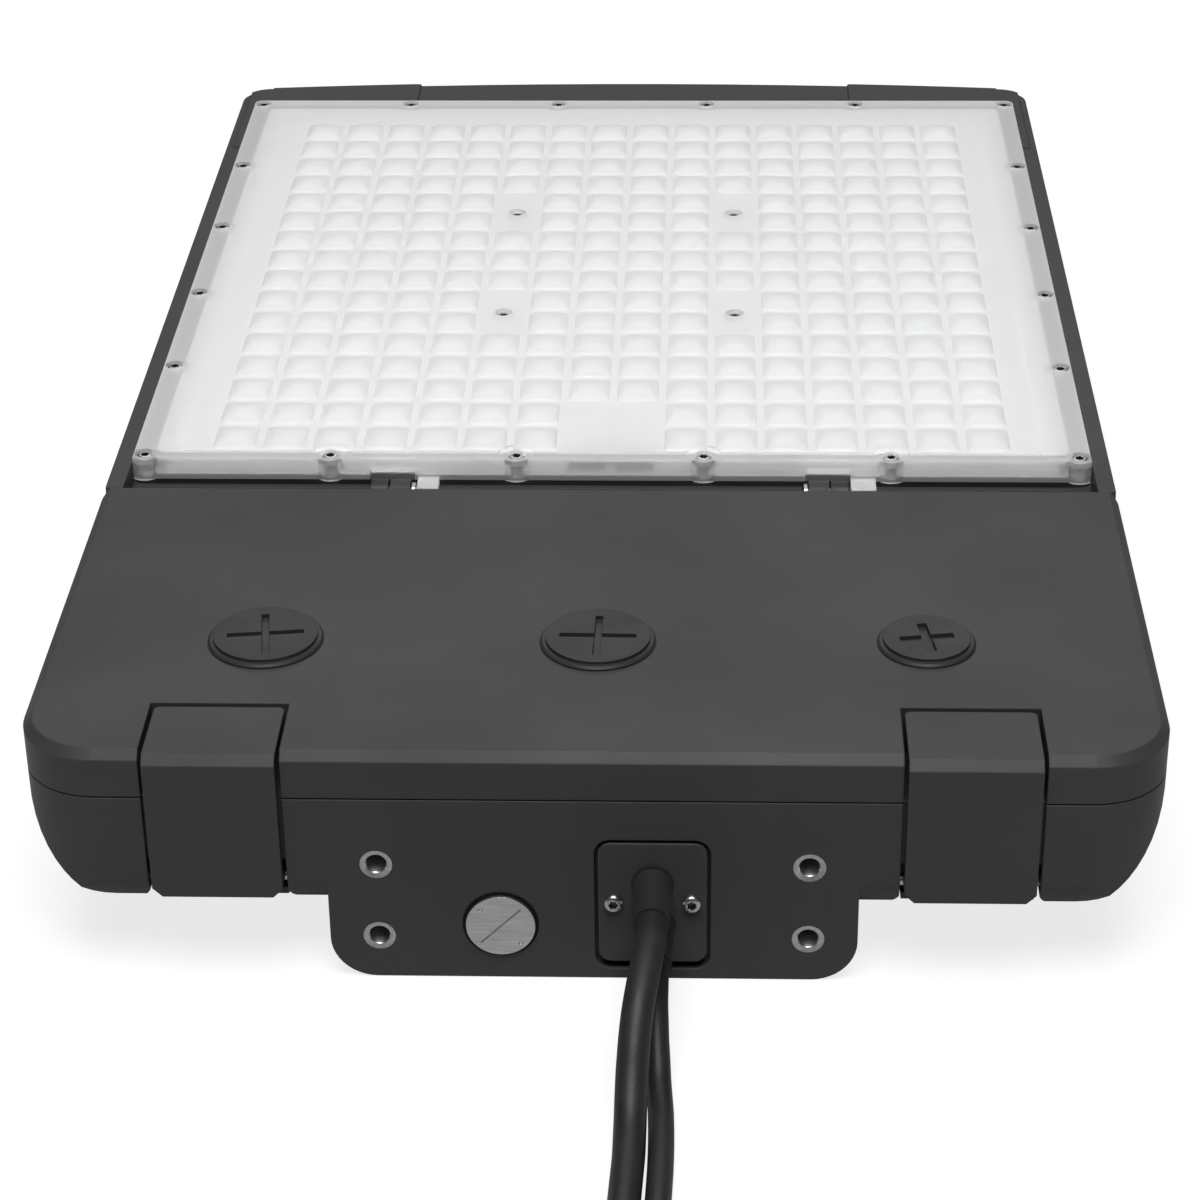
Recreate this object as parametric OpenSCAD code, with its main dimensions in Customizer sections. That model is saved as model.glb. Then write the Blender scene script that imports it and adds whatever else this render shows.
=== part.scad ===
// Shoebox area light, lying upside down with its lens up, as it is set down for wiring.
// X is across the light, +Y runs from the mount end to the front, +Z points out of the lens.
// The origin is under the middle of the light, level with the fin tips and the pad's lower edge.
// Every Y below is counted from the mount pad's face; place() moves it to the origin.

/* [Housing] */
// Width of the housing
body_w = 344; // [334:1:360]
// Length from the pad's face to the middle of the front edge
body_l = 560; // [560:1:600]
// Height of the housing's floor
floor_z = 24; // [22:0.5:25]
// Height of the parting line under the door
parting_z = 64; // [63.5:0.5:65]
// Height of the rim round the lens
rim_z = 78; // [76:0.5:79.5]
// Thickness of the housing's walls and floor
wall_t = 4; // [3:0.25:5]
// Radius of the lower side edges
lower_r = 40; // [30:1:40]
// Radius of the lower edge at the mount end
rear_edge_r = 12; // [11:0.5:14]
// Plan radius of the corners at the mount end
rear_corner_r = 24; // [20:1:28]
// Plan radius of the corners at the front
front_corner_r = 12; // [8:1:14]
// Bow of the front edge
front_bow = 9; // [4:1:12]

/* [Fins] */
// Thickness of a cooling fin
fin_t = 2.5; // [2:0.25:4]
// Distance between fins
fin_pitch = 13; // [11:0.5:16]
// Fins on each side of the middle one
fin_side_count = 9; // [6:1:9]
// Where the fins start
fin_start = 60; // [50:1:80]
// Gap from the fins' front ends to the front edge
fin_front_gap = 24; // [20:1:40]

/* [Mount pad] */
// Width of the pad
pad_w = 160; // [156:1:164]
// Depth of the pad's block
pad_d = 34; // [30:1:40]
// Radius of the pad's lower corners
pad_corner_r = 14; // [8:1:16]
// Bolt hole spacing across the pad
bolt_dx = 130; // [124:1:132]
// Bolt hole spacing up the pad
bolt_dz = 26; // [24:0.5:28]
// Height of the lower bolt holes
bolt_low_z = 15; // [14:0.5:16]
// Radius of a bolt hole, tapped M8
bolt_r = 3.4; // [3:0.1:3.6]
// Depth of a bolt hole
bolt_depth = 20; // [16:1:22]
// Radius of the bolt hole's shallow countersink
bolt_sink_r = 5; // [4:0.1:5.5]
// Depth of the countersink
bolt_sink_depth = 0.4; // [0.2:0.05:0.4]

/* [Lens end] */
// Height of the deck that carries the light board
deck_z = 70; // [69.5:0.25:71]
// Thickness of the deck
deck_t = 5; // [4:0.25:5]
// Width of the rim beside the lens
rim_w = 6; // [5:0.25:7]
// Distance from the hinge axis to the lens
lens_back_gap = 5.5; // [5.5:0.25:7]
// Distance from the lens to the front edge
lens_front_gap = 26; // [24:0.5:30]
// Height of the lens cover
lens_h = 8; // [7.5:0.25:9]
// Thickness of the lens panel
panel_t = 3; // [2.5:0.25:3.5]
// Width of the lens cover's wall
lens_wall_w = 7; // [6.5:0.25:8]
// Thickness of the lens gasket
lens_gasket_t = 2; // [1.5:0.25:2.5]
// Clearance round the lens cover
lens_gap = 0.4; // [0.3:0.05:0.6]
// Radius of a lens screw's boss
lens_boss_r = 5.5; // [5:0.1:6]
// Inset of the lens screws from the lens edge
lens_screw_inset = 3.8; // [3.6:0.1:4]
// Radius of a lens screw
lens_screw_r = 1.5; // [1.25:0.05:1.75]

/* [Optics] */
// Optics across the lens
optic_cols = 16; // [16:1:16]
// Optics along the lens
optic_rows = 16; // [14:1:16]
// Distance from the lens's sides to the outer columns
optic_side_inset = 34.7; // [34:0.1:38]
// Distance from the lens's back edge to the first row
optic_inset = 14; // [14:0.5:16]
// Distance from the lens's front edge to the last row
optic_end_inset = 40.5; // [38:0.5:46]
// Radius of an optic
optic_r = 5.8; // [5:0.1:6.2]
// Height of an optic
optic_h = 2.2; // [1.5:0.1:2.6]
// Height of the raised field that carries the optics
field_h = 0.8; // [0.5:0.1:1.2]

/* [Light board] */
// Thickness of the thermal pad
thermal_t = 0.5; // [0.3:0.05:1]
// Thickness of the light board
board_t = 1.6; // [1:0.1:2]
// Gap from the lens's sides to the light board
board_side_gap = 10.1; // [9.9:0.1:18]
// Gap from the inside of the lens's front wall to the light board
board_end_gap = 3.5; // [3:0.5:18]
// Edge of a light chip
chip_w = 3.5; // [2.5:0.5:5]
// Height of a light chip
chip_h = 0.8; // [0.5:0.1:1.2]

/* [Door] */
// Length of the door
door_l = 169; // [168:0.5:169.5]
// Height of the door's top face
door_z = 80; // [79:0.5:80.5]
// Thickness of the door's top and skirt
door_t = 3.5; // [3:0.25:4]
// Bevel along the door's sides and mount end
door_bevel = 2.8; // [1.5:0.1:3.2]
// Bevel along the door's front edge
door_front_bevel = 1.2; // [0.5:0.1:1.5]
// Plan radius of the door's front corners
door_front_r = 5; // [3:0.5:8]
// Gap at the parting line
door_gap = 0.6; // [0.3:0.05:0.8]
// Thickness of the door gasket
door_gasket_t = 4; // [3:0.25:5]
// Width of the door gasket
door_gasket_w = 5; // [4:0.25:6]

/* [Hinge] */
// Distance from the door's front edge to the hinge axis
hinge_reach = 15.5; // [15.25:0.25:16]
// Height of the hinge axis
hinge_z = 70; // [69.5:0.25:70.5]
// Radius of the hinge knuckles
knuckle_r = 4.5; // [4:0.1:4.6]
// Radius of the hinge pins
hinge_pin_r = 2; // [1.5:0.1:2.5]
// Inner side of a door arm
arm_x = 68.5; // [66:0.5:72]
// Width of a door arm
arm_w = 7; // [6:0.25:8]

/* [Latches] */
// Distance from the light's side to a latch
latch_side = 39.2; // [37.5:0.1:40.5]
// Width of a latch
latch_w = 39.5; // [36:0.5:41]
// How far a latch reaches over the door
latch_reach = 27.2; // [22:0.1:28]
// How far a latch stands proud of the pad's face
latch_proud = 2; // [2:0.5:2]
// How far a latch lies under the door's top
latch_below = 0.6; // [0:0.1:1]
// Thickness of a latch
latch_t = 3.5; // [3:0.25:3.75]
// Thickness of a latch's upper leg
latch_top_t = 2; // [1.8:0.1:3]
// Bevel of a latch's upper edge
latch_bevel = 2.8; // [2:0.1:3.4]
// Gap round a latch
latch_gap = 1.3; // [1:0.1:1.6]
// Height of a latch's lower edge
latch_low_z = 30; // [29.5:0.25:31]
// Where the latch pins lie
latch_pin_y = 8; // [7.5:0.25:8.5]
// Height of the latch pins
latch_pin_z = 32; // [31.5:0.25:32.5]
// Radius of the latch pins
latch_pin_r = 2; // [1.5:0.1:2.5]

/* [Caps] */
// Distance from the pad's face to the caps
cap_y = 66.5; // [64:0.5:70]
// Distance of the outer large cap from the light's side
cap_left_side = 68.2; // [64:0.2:72]
// Distance of the small cap from the light's side
cap_right_side = 70; // [64:0.2:74]
// Radius of a large cap's flange
cap_r = 18.1; // [16:0.1:19]
// Radius of the small cap's flange
small_cap_r = 15.3; // [14:0.1:16]
// Height of a cap's flange
cap_flange_h = 0.9; // [0.8:0.1:1.2]
// Height of a cap's disc above its flange
cap_disc_h = 1.1; // [0.8:0.1:1.3]
// Step from the flange to a large cap's disc
cap_step = 1.8; // [1.2:0.1:2.4]
// Length of a large cap's slots
slot_l = 24; // [16:0.5:25]
// Width of a large cap's slots
slot_w = 2.4; // [1.6:0.1:3]
// Length of the small cap's slots
small_slot_l = 17; // [12:0.5:18]
// Width of the small cap's slots
small_slot_w = 3; // [2:0.1:3.5]
// Depth of the slots
slot_d = 1.6; // [1:0.1:1.8]

/* [Cable entry] */
// Middle of the cable plate across the pad
plate_x = 18; // [16:0.5:18.5]
// Width of the pocket for the cable plate
pocket_w = 35; // [33:0.5:36]
// Height of the pocket
pocket_h = 47; // [45:0.5:47.5]
// Height of the pocket's lower edge
pocket_z = 3.5; // [3:0.25:4]
// Depth of the pocket
pocket_d = 3.5; // [3:0.25:4]
// Radius of the pocket's corners
pocket_r = 5; // [3:0.5:6]
// Gap beside and above the cable plate
plate_gap = 1.2; // [0.8:0.1:1.5]
// Gap under the cable plate
plate_low_gap = 3; // [2:0.25:4]
// Distance between the plate's screws
plate_screw_dx = 23.5; // [22:0.25:24.5]
// Height of the plate's screws
plate_screw_z = 28.3; // [27:0.1:29.5]
// Radius of a plate screw's head
plate_screw_r = 3; // [2.5:0.1:3.2]
// Middle of the hole plug across the pad
plug_x = -28; // [-32:0.5:-27]
// Height of the hole plug
plug_z = 19.7; // [18:0.1:21]
// Radius of the hole plug
plug_r = 10.5; // [9:0.1:11]
// How far the hole plug stands out
plug_proud = 1.2; // [0.6:0.1:1.6]
// Width of the plug's seal
plug_seal_w = 1; // [0.6:0.1:1.4]

/* [Cords] */
// Diameter of the power cord
power_d = 9.5; // [9.5:0.5:9.5]
// Diameter of the dimming cord
dim_d = 7.5; // [7.5:0.5:7.5]
// Length of the power cord's boot
power_boot_l = 20; // [20:1:20]
// Length of the dimming cord's boot
dim_boot_l = 20; // [20:1:20]
// Wall of a cord boot at its root
boot_wall = 1.6; // [1:0.1:1.8]
// Thickness of a coil tie
tie_t = 0.8; // [0.6:0.1:0.8]
// Width of a coil tie
tie_w = 10; // [6:1:14]

/* [Driver and wiring] */
// Floor that the driver leaves for the surge protector
driver_room = 92; // [90:1:120]
// Width of the driver
driver_w = 62; // [50:1:64]
// Height of the driver
driver_h = 33; // [28:1:33]
// Radius of a small screw
screw_r = 2; // [1.5:0.1:2.25]
// Radius of a small screw's head
screw_head_r = 3.8; // [3:0.1:4.2]

/* [Hidden] */
$fn = 48;

// Colours, after the photograph
paint = [0.29, 0.29, 0.30];
dark_paint = [0.18, 0.18, 0.19];
clear = [0.88, 0.90, 0.91];
white = [0.93, 0.93, 0.92];
steel = [0.72, 0.72, 0.73];
black = [0.06, 0.06, 0.06];
green = [0.15, 0.45, 0.22];
copper = [0.72, 0.42, 0.22];

// General
eps = 0.01;
cut = 1; // how far a cut runs past a face
play = 0.05; // radial play of a pin that turns
fix_play = 0.02; // radial play of a pin or screw that is fixed
seat_gap = 0.3; // gap where a soft piece meets its seat
half_w = body_w / 2;
mid_y = (body_l - latch_proud) / 2;
small_fillet = 3;
floor_x = half_w - lower_r; // half width of the flat floor

// What follows the door's length
hinge_y = door_l + hinge_reach;
lens_y = hinge_y + lens_back_gap;
lens_l = body_l - lens_front_gap - lens_y;
room_wall = 5;
trough_y = door_l - 0.5; // back edge of the trough between the door and the lens
room_y1 = trough_y - room_wall; // inside of the compartment's front wall

// Lens end
lens_z = deck_z + lens_gasket_t;
lens_top_z = lens_z + lens_h;
lens_w = body_w - 2 * (rim_w + lens_gap);
lens_mid_y = lens_y + lens_l / 2;
deck_y = lens_y - 2.5; // back edge of the deck, behind the lens
inner_y = lens_y + lens_wall_w; // inside of the lens's back wall
field_inset = 17; // from the lens's sides to the optics field
field_y = lens_y + 4.5;
field_l = lens_l - 27;
lens_screw_x = lens_w / 2 - lens_screw_inset;
lens_screws_across = 6;
lens_screw_pitch = 2 * lens_screw_x / (lens_screws_across - 1);
lens_screw_len = 14;
lens_head_r = 3.1;
lens_head_h = 2.2;
lens_head_z = lens_top_z - lens_head_h - 0.4;
board_z = deck_z + thermal_t;
chip_z = board_z + board_t;
board_y = inner_y + 2.5;
board_w = lens_w - 2 * board_side_gap;
board_l = lens_y + lens_l - lens_wall_w - board_end_gap - board_y;
lens_head_gap = 0.2;
first_optic_y = lens_y + optic_inset;
optic_px = (lens_w - 2 * optic_side_inset) / (optic_cols - 1);
optic_py = (lens_l - optic_inset - optic_end_inset) / (optic_rows - 1);

// Optics that are left out: two rows at the middle of the back edge, and room for four screws
function optic_x(i) = (i - (optic_cols - 1) / 2) * optic_px;
function optic_y(j) = first_optic_y + j * optic_py;
function over_connectors(i, j) = j < 2 && (i == 7 || i == 8);
function at_screw(i, j) = (i == 5 || i == 10) && (j == 5 || j == 6 || j == 10 || j == 11);
function has_optic(i, j) = !over_connectors(i, j) && !at_screw(i, j);
optic_places = [for (i = [0:optic_cols - 1], j = [0:optic_rows - 1]) if (has_optic(i, j))
  [optic_x(i), optic_y(j)]];
middle_screw_places = [for (i = [5, 10], j = [5.5, 10.5]) [optic_x(i), optic_y(j)]];
lens_screw_end = lens_l / 2 - lens_screw_inset;
function lens_screw_px(i) = (i - 2.5) * lens_screw_pitch;
// The end rows lie at the lens's ends, and the rest keep the same pitch about its middle
function lens_screw_py(j) = lens_mid_y + (j == 0 ? -lens_screw_end : j == 5 ? lens_screw_end
  : (j - 2.5) * lens_screw_pitch);
lens_screw_places = [for (i = [0:5], j = [0:5]) if (i == 0 || i == 5 || j == 0 || j == 5)
  [lens_screw_px(i), lens_screw_py(j)]];

// Driver compartment
flange_t = 4; // thickness of the deck round the compartment's opening
open_x = half_w - 18; // half width of the opening
open_y1 = room_y1 - 7;
room_floor_z = floor_z + wall_t;
gasket_x = half_w - 9.5;
gasket_y1 = room_y1 + 1;
trough_z = 58; // floor of the trough between the door and the lens
duct_w = 28; // duct that takes the leads under the deck
duct_wall = 4;
duct_z = 40;
duct_h = 8;
lead_hole_y = lens_y + 22;
riser_y = lead_hole_y - 12;
duct_y1 = lead_hole_y + 12;
lead_hole_r = 6;
lead_r = 0.85;
chamber_w = 90; // wiring chamber inside the pad
chamber_y0 = 8;
chamber_y1 = 28;
chamber_z = 6;
pad_face_t = 7;

// Latches
latch_x = half_w - latch_side - latch_w;
notch_x = latch_x - latch_gap;
notch_w = latch_w + 2 * latch_gap;
notch_y = latch_reach + latch_gap;
notch_wall = 3;
gasket_y0 = notch_y + notch_wall + 0.5;
open_y0 = gasket_y0 + door_gasket_w + 2;
latch_knuckle_r = 4.5;
latch_sweep_r = 11.2; // room for the latch's foot as it swings
latch_room = 0.5;
pin_seat = 2.5; // how far a latch pin runs into the housing on each side
latch_mid_x = latch_x + latch_w / 2;
latch_foot_bevel = 3;
liner_y = 24;

// Hinge
rim_ramp = 2.3; // how far the rims' ends slope, clear of the door's swing
bearing_x = arm_x + arm_w + 0.6;
bearing_w = 6;
hinge_room = 2; // room beside the hinge
arm_step = 1.5; // how far an arm lies under its knuckle's top, clear of the lens when open

// Caps and what lies under them
cap_left_x = half_w - cap_left_side;
cap_right_x = half_w - cap_right_side;
cap_stem_r = 13.5;
small_stem_r = 11;
cap_stem_l = 4.5;
cap_bevel = 0.7;
ring_r = 0.7; // seal ring section
ring_depth = 1.5;
selector_z = 66;
selector_t = 1.6;
selector_body_h = 3;
dial_gap = 0.3;
dial_h = 4;
dial_r = 9;

// Cable entry
plate_y = pocket_d;
plate_t = 3.2;
plate_seal_t = 0.5;
plate_h = pocket_h - plate_gap - plate_low_gap;
plate_w = pocket_w - 2 * plate_gap;
plate_low_z = pocket_z + plate_low_gap;
power_x = 18;
power_z = 34.5;
dim_x = 19.5;
dim_z = 19.5;
power_r = power_d / 2;
dim_r = dim_d / 2;
power_boot_r = power_r + boot_wall;
dim_boot_r = dim_r + boot_wall;
boot_tip_wall = 0.8;

// Free cords: points chosen by hand, in the finished frame
power_route = [[18, -299, 34.5], [18, -304, 34.5], [17.9, -309, 34.5], [17.2, -315, 34.1],
  [16.4, -321, 32.9], [15.5, -327, 30.7], [14.6, -333, 27.6], [13.9, -339, 23.2], [13.6, -342.5, 20.1],
  [13.3, -346, 16.7], [13.1, -351.5, 12.3], [13, -357.5, 8.9], [12.9, -363.5, 6.7],
  [12.8, -369.5, 5.3], [12.5, -376, 4.8], [12, -388, 4.8], [11.4, -403, 4.8], [11.1, -421, 4.8],
  [11, -437, 4.9], [11, -453, 5.4], [11, -464, 5.65], [11, -475, 5.65]];
dim_route = [[19.5, -299, 19.5], [19.5, -303, 19.5], [19.5, -307, 19.5], [19.5, -312, 19.15],
  [19.5, -317, 18.1], [19.7, -322, 16.2], [19.9, -327, 13.4], [20.1, -329.5, 11.7], [20.3, -332, 9.8],
  [20.6, -337, 7], [21, -342, 5.2], [21.4, -347, 4.1], [21.6, -352, 3.8], [21.8, -362, 3.8],
  [21.7, -375, 3.8], [21.2, -391, 3.8], [20.7, -409, 3.8], [20.5, -427, 3.9], [20.5, -443, 4.4],
  [20.5, -453, 4.65], [20.5, -463, 4.65]];
power_coil_r = 58;
power_coil_step = 10.2;
power_coil_turns = [1.25, 0.5, 0.75]; // inwards, climbing, outwards
dim_coil_r = 46;
dim_coil_step = 8.2;
dim_coil_turns = [1.5, 0.5, 1];
coil_rings = 24; // rings in each loop
tie_room = 0.7; // room beside the strands in a tie
wire_r = 1;
wire_l = 30;

// Shapes

module place() {
  translate([0, -mid_y, 0]) children();
}

module both_sides() {
  children();
  mirror([1, 0, 0]) children();
}

module rounded(w, l, r) {
  square([w - 2 * r, l], center = true);
  square([w, l - 2 * r], center = true);
  for (x = [-1, 1], y = [-1, 1]) translate([x * (w / 2 - r), y * (l / 2 - r)]) circle(r);
}

// Cylinder along X
module rod_x(r, l) {
  rotate([0, 90, 0]) cylinder(r = r, h = l);
}

// Cylinder along +Y
module rod_y(r, l) {
  rotate([-90, 0, 0]) cylinder(r = r, h = l);
}

// Outline in Y and Z, drawn out along X
module along_x(w) {
  translate([-w / 2, 0, 0]) rotate([90, 0, 90]) linear_extrude(w) children();
}

// Outline in X and Z, drawn out along Y
module along_y(y0, y1) {
  translate([0, y1, 0]) rotate([90, 0, 0]) linear_extrude(y1 - y0) children();
}

// A swept tube: one ring of points round each point of the path
function unit(v) = v / norm(v);
function last(v) = len(v) - 1;
function heading(path, i) = unit(path[min(i + 1, last(path))] - path[max(i - 1, 0)]);
function side_of(t, up = [0, 0, 1]) = unit(cross(t, up));
function ring_points(p, t, r, n, up) = let (s = side_of(t, up), u = cross(s, t))
  [for (k = [0:n - 1]) p + r * (cos(k * 360 / n + 90) * s + sin(k * 360 / n + 90) * u)];
function tube_points(path, r, n, up) = [for (i = [0:last(path)])
  each ring_points(path[i], heading(path, i), r, n, up)];
function tube_walls(m, n) = [for (i = [0:m - 2], k = [0:n - 1], f = [0, 1]) let (a = i * n + k,
  b = i * n + (k + 1) % n) f == 0 ? [a, a + n, b] : [b, a + n, b + n]];
function tube_ends(m, n) = [for (k = [1:n - 2], f = [0, 1]) f == 0 ? [0, k, k + 1]
  : [(m - 1) * n, (m - 1) * n + k + 1, (m - 1) * n + k]];

module tube(path, r, n, up = [0, 0, 1]) {
  polyhedron(tube_points(path, r, n, up), concat(tube_walls(len(path), n), tube_ends(len(path), n)));
}

// Path of a coil: a straight start, in along the floor, up in half a turn, out again, a straight end.
// dir is 1 for a coil that turns to the right of its start and -1 for one that turns to the left.
function coil_radius(u, r, step, t) = let (turn_back = t[0] + t[1] / 2)
  r - step * min(u, turn_back) + step * max(0, u - turn_back);
function coil_climb(u, t) = u < t[0] ? 0 : u < t[0] + t[1] ? (u - t[0]) / t[1] : 1;
function coil_total(t) = t[0] + t[1] + t[2];
function coil_point(u, start, r, step, t, d, dir) = let (a = u * 360, q = coil_radius(u, r, step, t))
  [start[0] - dir * r + dir * q * cos(a), start[1] - d - q * sin(a),
    start[2] + (d + 0.6) * coil_climb(u, t)];
function coil_turns(start, r, step, t, d, dir) = [for (i = [0:coil_rings * coil_total(t)])
  coil_point(i / coil_rings, start, r, step, t, d, dir)];
function coil_path(start, r, step, t, d, dir) = let (c = coil_turns(start, r, step, t, d, dir),
  e = c[last(c)], h = unit(e - c[last(c) - 1])) concat([start], c, [e + d * [h[0], h[1], 0]]);
function sum(v) = v * [for (x = v) 1];
function path_length(path) = sum([for (i = [1:last(path)]) norm(path[i] - path[i - 1])]);
function least_gap(path, d) = min([for (i = [0:last(path)], j = [i + 12:1:last(path)])
  norm(path[i] - path[j])]) - d;

power_coil_path = coil_path(power_route[last(power_route)], power_coil_r, power_coil_step,
  power_coil_turns, power_d, 1);
dim_coil_path = coil_path(dim_route[last(dim_route)], dim_coil_r, dim_coil_step, dim_coil_turns,
  dim_d, -1);
echo(power_cord_length = path_length(power_route) + path_length(power_coil_path));
echo(dimming_cord_length = path_length(dim_route) + path_length(dim_coil_path));
echo(power_coil_gap = least_gap(power_coil_path, power_d));
echo(dimming_coil_gap = least_gap(dim_coil_path, dim_d));

// Housing

module section(inset) {
  mid = half_w - lower_r;
  arc_z = floor_z + lower_r;
  translate([-mid, floor_z + inset]) square([2 * mid, rim_z - floor_z - inset]);
  translate([-half_w + inset, arc_z]) square([body_w - 2 * inset, rim_z - arc_z]);
  for (x = [-mid, mid]) translate([x, arc_z]) circle(lower_r - inset);
}

module plan(inset) {
  bow_r = (half_w * half_w + front_bow * front_bow) / (2 * front_bow);
  intersection() {
    union() {
      translate([-half_w + inset, rear_corner_r])
        square([body_w - 2 * inset, body_l - rear_corner_r - front_bow - front_corner_r]);
      translate([-half_w + rear_corner_r, inset])
        square([body_w - 2 * rear_corner_r, body_l]);
      translate([-half_w + front_corner_r, body_l / 2])
        square([body_w - 2 * front_corner_r, body_l / 2]);
      both_sides() {
        translate([half_w - rear_corner_r, rear_corner_r]) circle(rear_corner_r - inset);
        translate([half_w - front_corner_r, body_l - front_bow - front_corner_r])
          circle(front_corner_r - inset);
      }
    }
    translate([0, body_l - bow_r]) circle(bow_r - inset, $fn = 360);
  }
}

module side_profile(inset) {
  arc_z = floor_z + lower_r;
  mid_l = body_l - rear_edge_r - lower_r;
  translate([rear_edge_r, floor_z + inset]) square([mid_l, rim_z - floor_z - inset]);
  translate([inset, floor_z + rear_edge_r]) square([rear_edge_r, rim_z - floor_z - rear_edge_r]);
  translate([rear_edge_r, floor_z + rear_edge_r]) circle(rear_edge_r - inset);
  translate([body_l - lower_r, arc_z]) circle(lower_r - inset);
  translate([body_l - lower_r, arc_z]) square([lower_r - inset, rim_z - arc_z]);
}

module hull_form(inset) {
  intersection() {
    along_y(-cut, body_l + cut) section(inset);
    linear_extrude(rim_z + cut) plan(inset);
    along_x(body_w) side_profile(inset);
  }
}

// A slab across the whole light between two Y and two Z
module slab(y0, y1, z0, z1, w = body_w + 2) {
  translate([-w / 2, y0, z0]) cube([w, y1 - y0, z1 - z0]);
}

module shell() {
  inside_w = body_w - 2 * rim_w;
  difference() {
    hull_form(0);
    slab(-cut, door_l + 0.8, parting_z, door_z); // where the door lies
    along_x(body_w + 2) polygon([[door_l, hinge_z], [door_l + 0.8, hinge_z],
      [door_l + 0.8 + rim_ramp, rim_z + eps], [door_l, rim_z + eps]]);
    slab(trough_y, deck_y, trough_z, door_z, inside_w); // trough for the hinge
    slab(door_l, lens_y + small_fillet, deck_z, door_z, inside_w);
    translate([0, lens_mid_y, deck_z])
      linear_extrude(lens_h * 2) rounded(inside_w, lens_l + 2 * lens_gap, small_fillet);
    intersection() { // driver compartment
      hull_form(wall_t);
      slab(-cut, room_y1, floor_z, parting_z - flange_t);
    }
    intersection() { // room for the fins under the lens
      hull_form(wall_t);
      union() {
        slab(trough_y, body_l, floor_z, trough_z - wall_t);
        slab(deck_y + wall_t, body_l, floor_z, deck_z - deck_t);
      }
    }
    slab(trough_y, body_l - lower_r, 0, floor_z + wall_t + cut, 2 * (half_w - lower_r));
    translate([-open_x, open_y0, parting_z - flange_t - cut])
      cube([2 * open_x, open_y1 - open_y0, flange_t + 2 * cut]);
  }
}

module fins() {
  end_y = body_l - fin_front_gap;
  root_z = floor_z + wall_t / 2;
  for (i = [-fin_side_count:fin_side_count]) translate([i * fin_pitch, 0, 0]) along_x(fin_t)
    polygon([[fin_start, root_z], [fin_start + 8, 0], [end_y - 36, 0], [end_y, floor_z + 16],
      [end_y, deck_z - deck_t / 2], [deck_y + wall_t / 2, deck_z - deck_t / 2],
      [deck_y + wall_t / 2, trough_z - wall_t / 2], [trough_y - cut, trough_z - wall_t / 2],
      [trough_y - cut, root_z]]);
}

module pad() {
  boss_w = pocket_w + 2 * small_fillet;
  along_y(0, pad_d) union() {
    translate([-pad_w / 2, pad_corner_r]) square([pad_w, room_floor_z - pad_corner_r]);
    translate([-pad_w / 2 + pad_corner_r, 0]) square([pad_w - 2 * pad_corner_r, room_floor_z]);
    for (x = [-1, 1]) translate([x * (pad_w / 2 - pad_corner_r), pad_corner_r]) circle(pad_corner_r);
  }
  translate([-pad_w / 2, 0, pad_corner_r])
    cube([pad_w, pad_face_t, floor_z + rear_edge_r + wall_t - pad_corner_r]);
  translate([plate_x - boss_w / 2, 0, pad_corner_r])
    cube([boss_w, pad_face_t, pocket_z + pocket_h + small_fillet - pad_corner_r]);
}

module bolt_holes() {
  for (x = [-1, 1], z = [0, 1]) translate([x * bolt_dx / 2, 0, bolt_low_z + z * bolt_dz]) {
    translate([0, -cut, 0]) rod_y(bolt_r, bolt_depth + cut);
    translate([0, -eps, 0]) rotate([-90, 0, 0])
      cylinder(r1 = bolt_sink_r, r2 = bolt_r, h = bolt_sink_depth);
  }
}

module latch_room_cut() {
  low = latch_pin_z;
  translate([notch_x, -latch_proud - cut, low])
    cube([notch_w, latch_proud + cut + latch_t - latch_proud + latch_room, parting_z - low + cut]);
  translate([notch_x, latch_pin_y, latch_pin_z]) rod_x(latch_knuckle_r + latch_room, notch_w);
  intersection() {
    translate([notch_x, latch_pin_y, latch_pin_z]) rod_x(latch_sweep_r, notch_w);
    translate([notch_x, -latch_sweep_r, 0])
      cube([notch_w, latch_pin_y + latch_sweep_r, low + latch_sweep_r]);
  }
  translate([notch_x - pin_seat, latch_pin_y, latch_pin_z])
    rod_x(latch_pin_r + fix_play, notch_w + 2 * pin_seat);
  // bevelled corners of the channel's mouth
  translate([notch_x + notch_w / 2, 0, 0]) along_y(-latch_sweep_r, latch_pin_y + latch_sweep_r)
    for (x = [-1, 1]) polygon([[x * (notch_w / 2 - cut), floor_z - cut],
      [x * (notch_w / 2 + latch_foot_bevel), floor_z - cut],
      [x * (notch_w / 2 + latch_foot_bevel), floor_z],
      [x * notch_w / 2, latch_low_z], [x * (notch_w / 2 - cut), latch_low_z]]);
}

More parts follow.
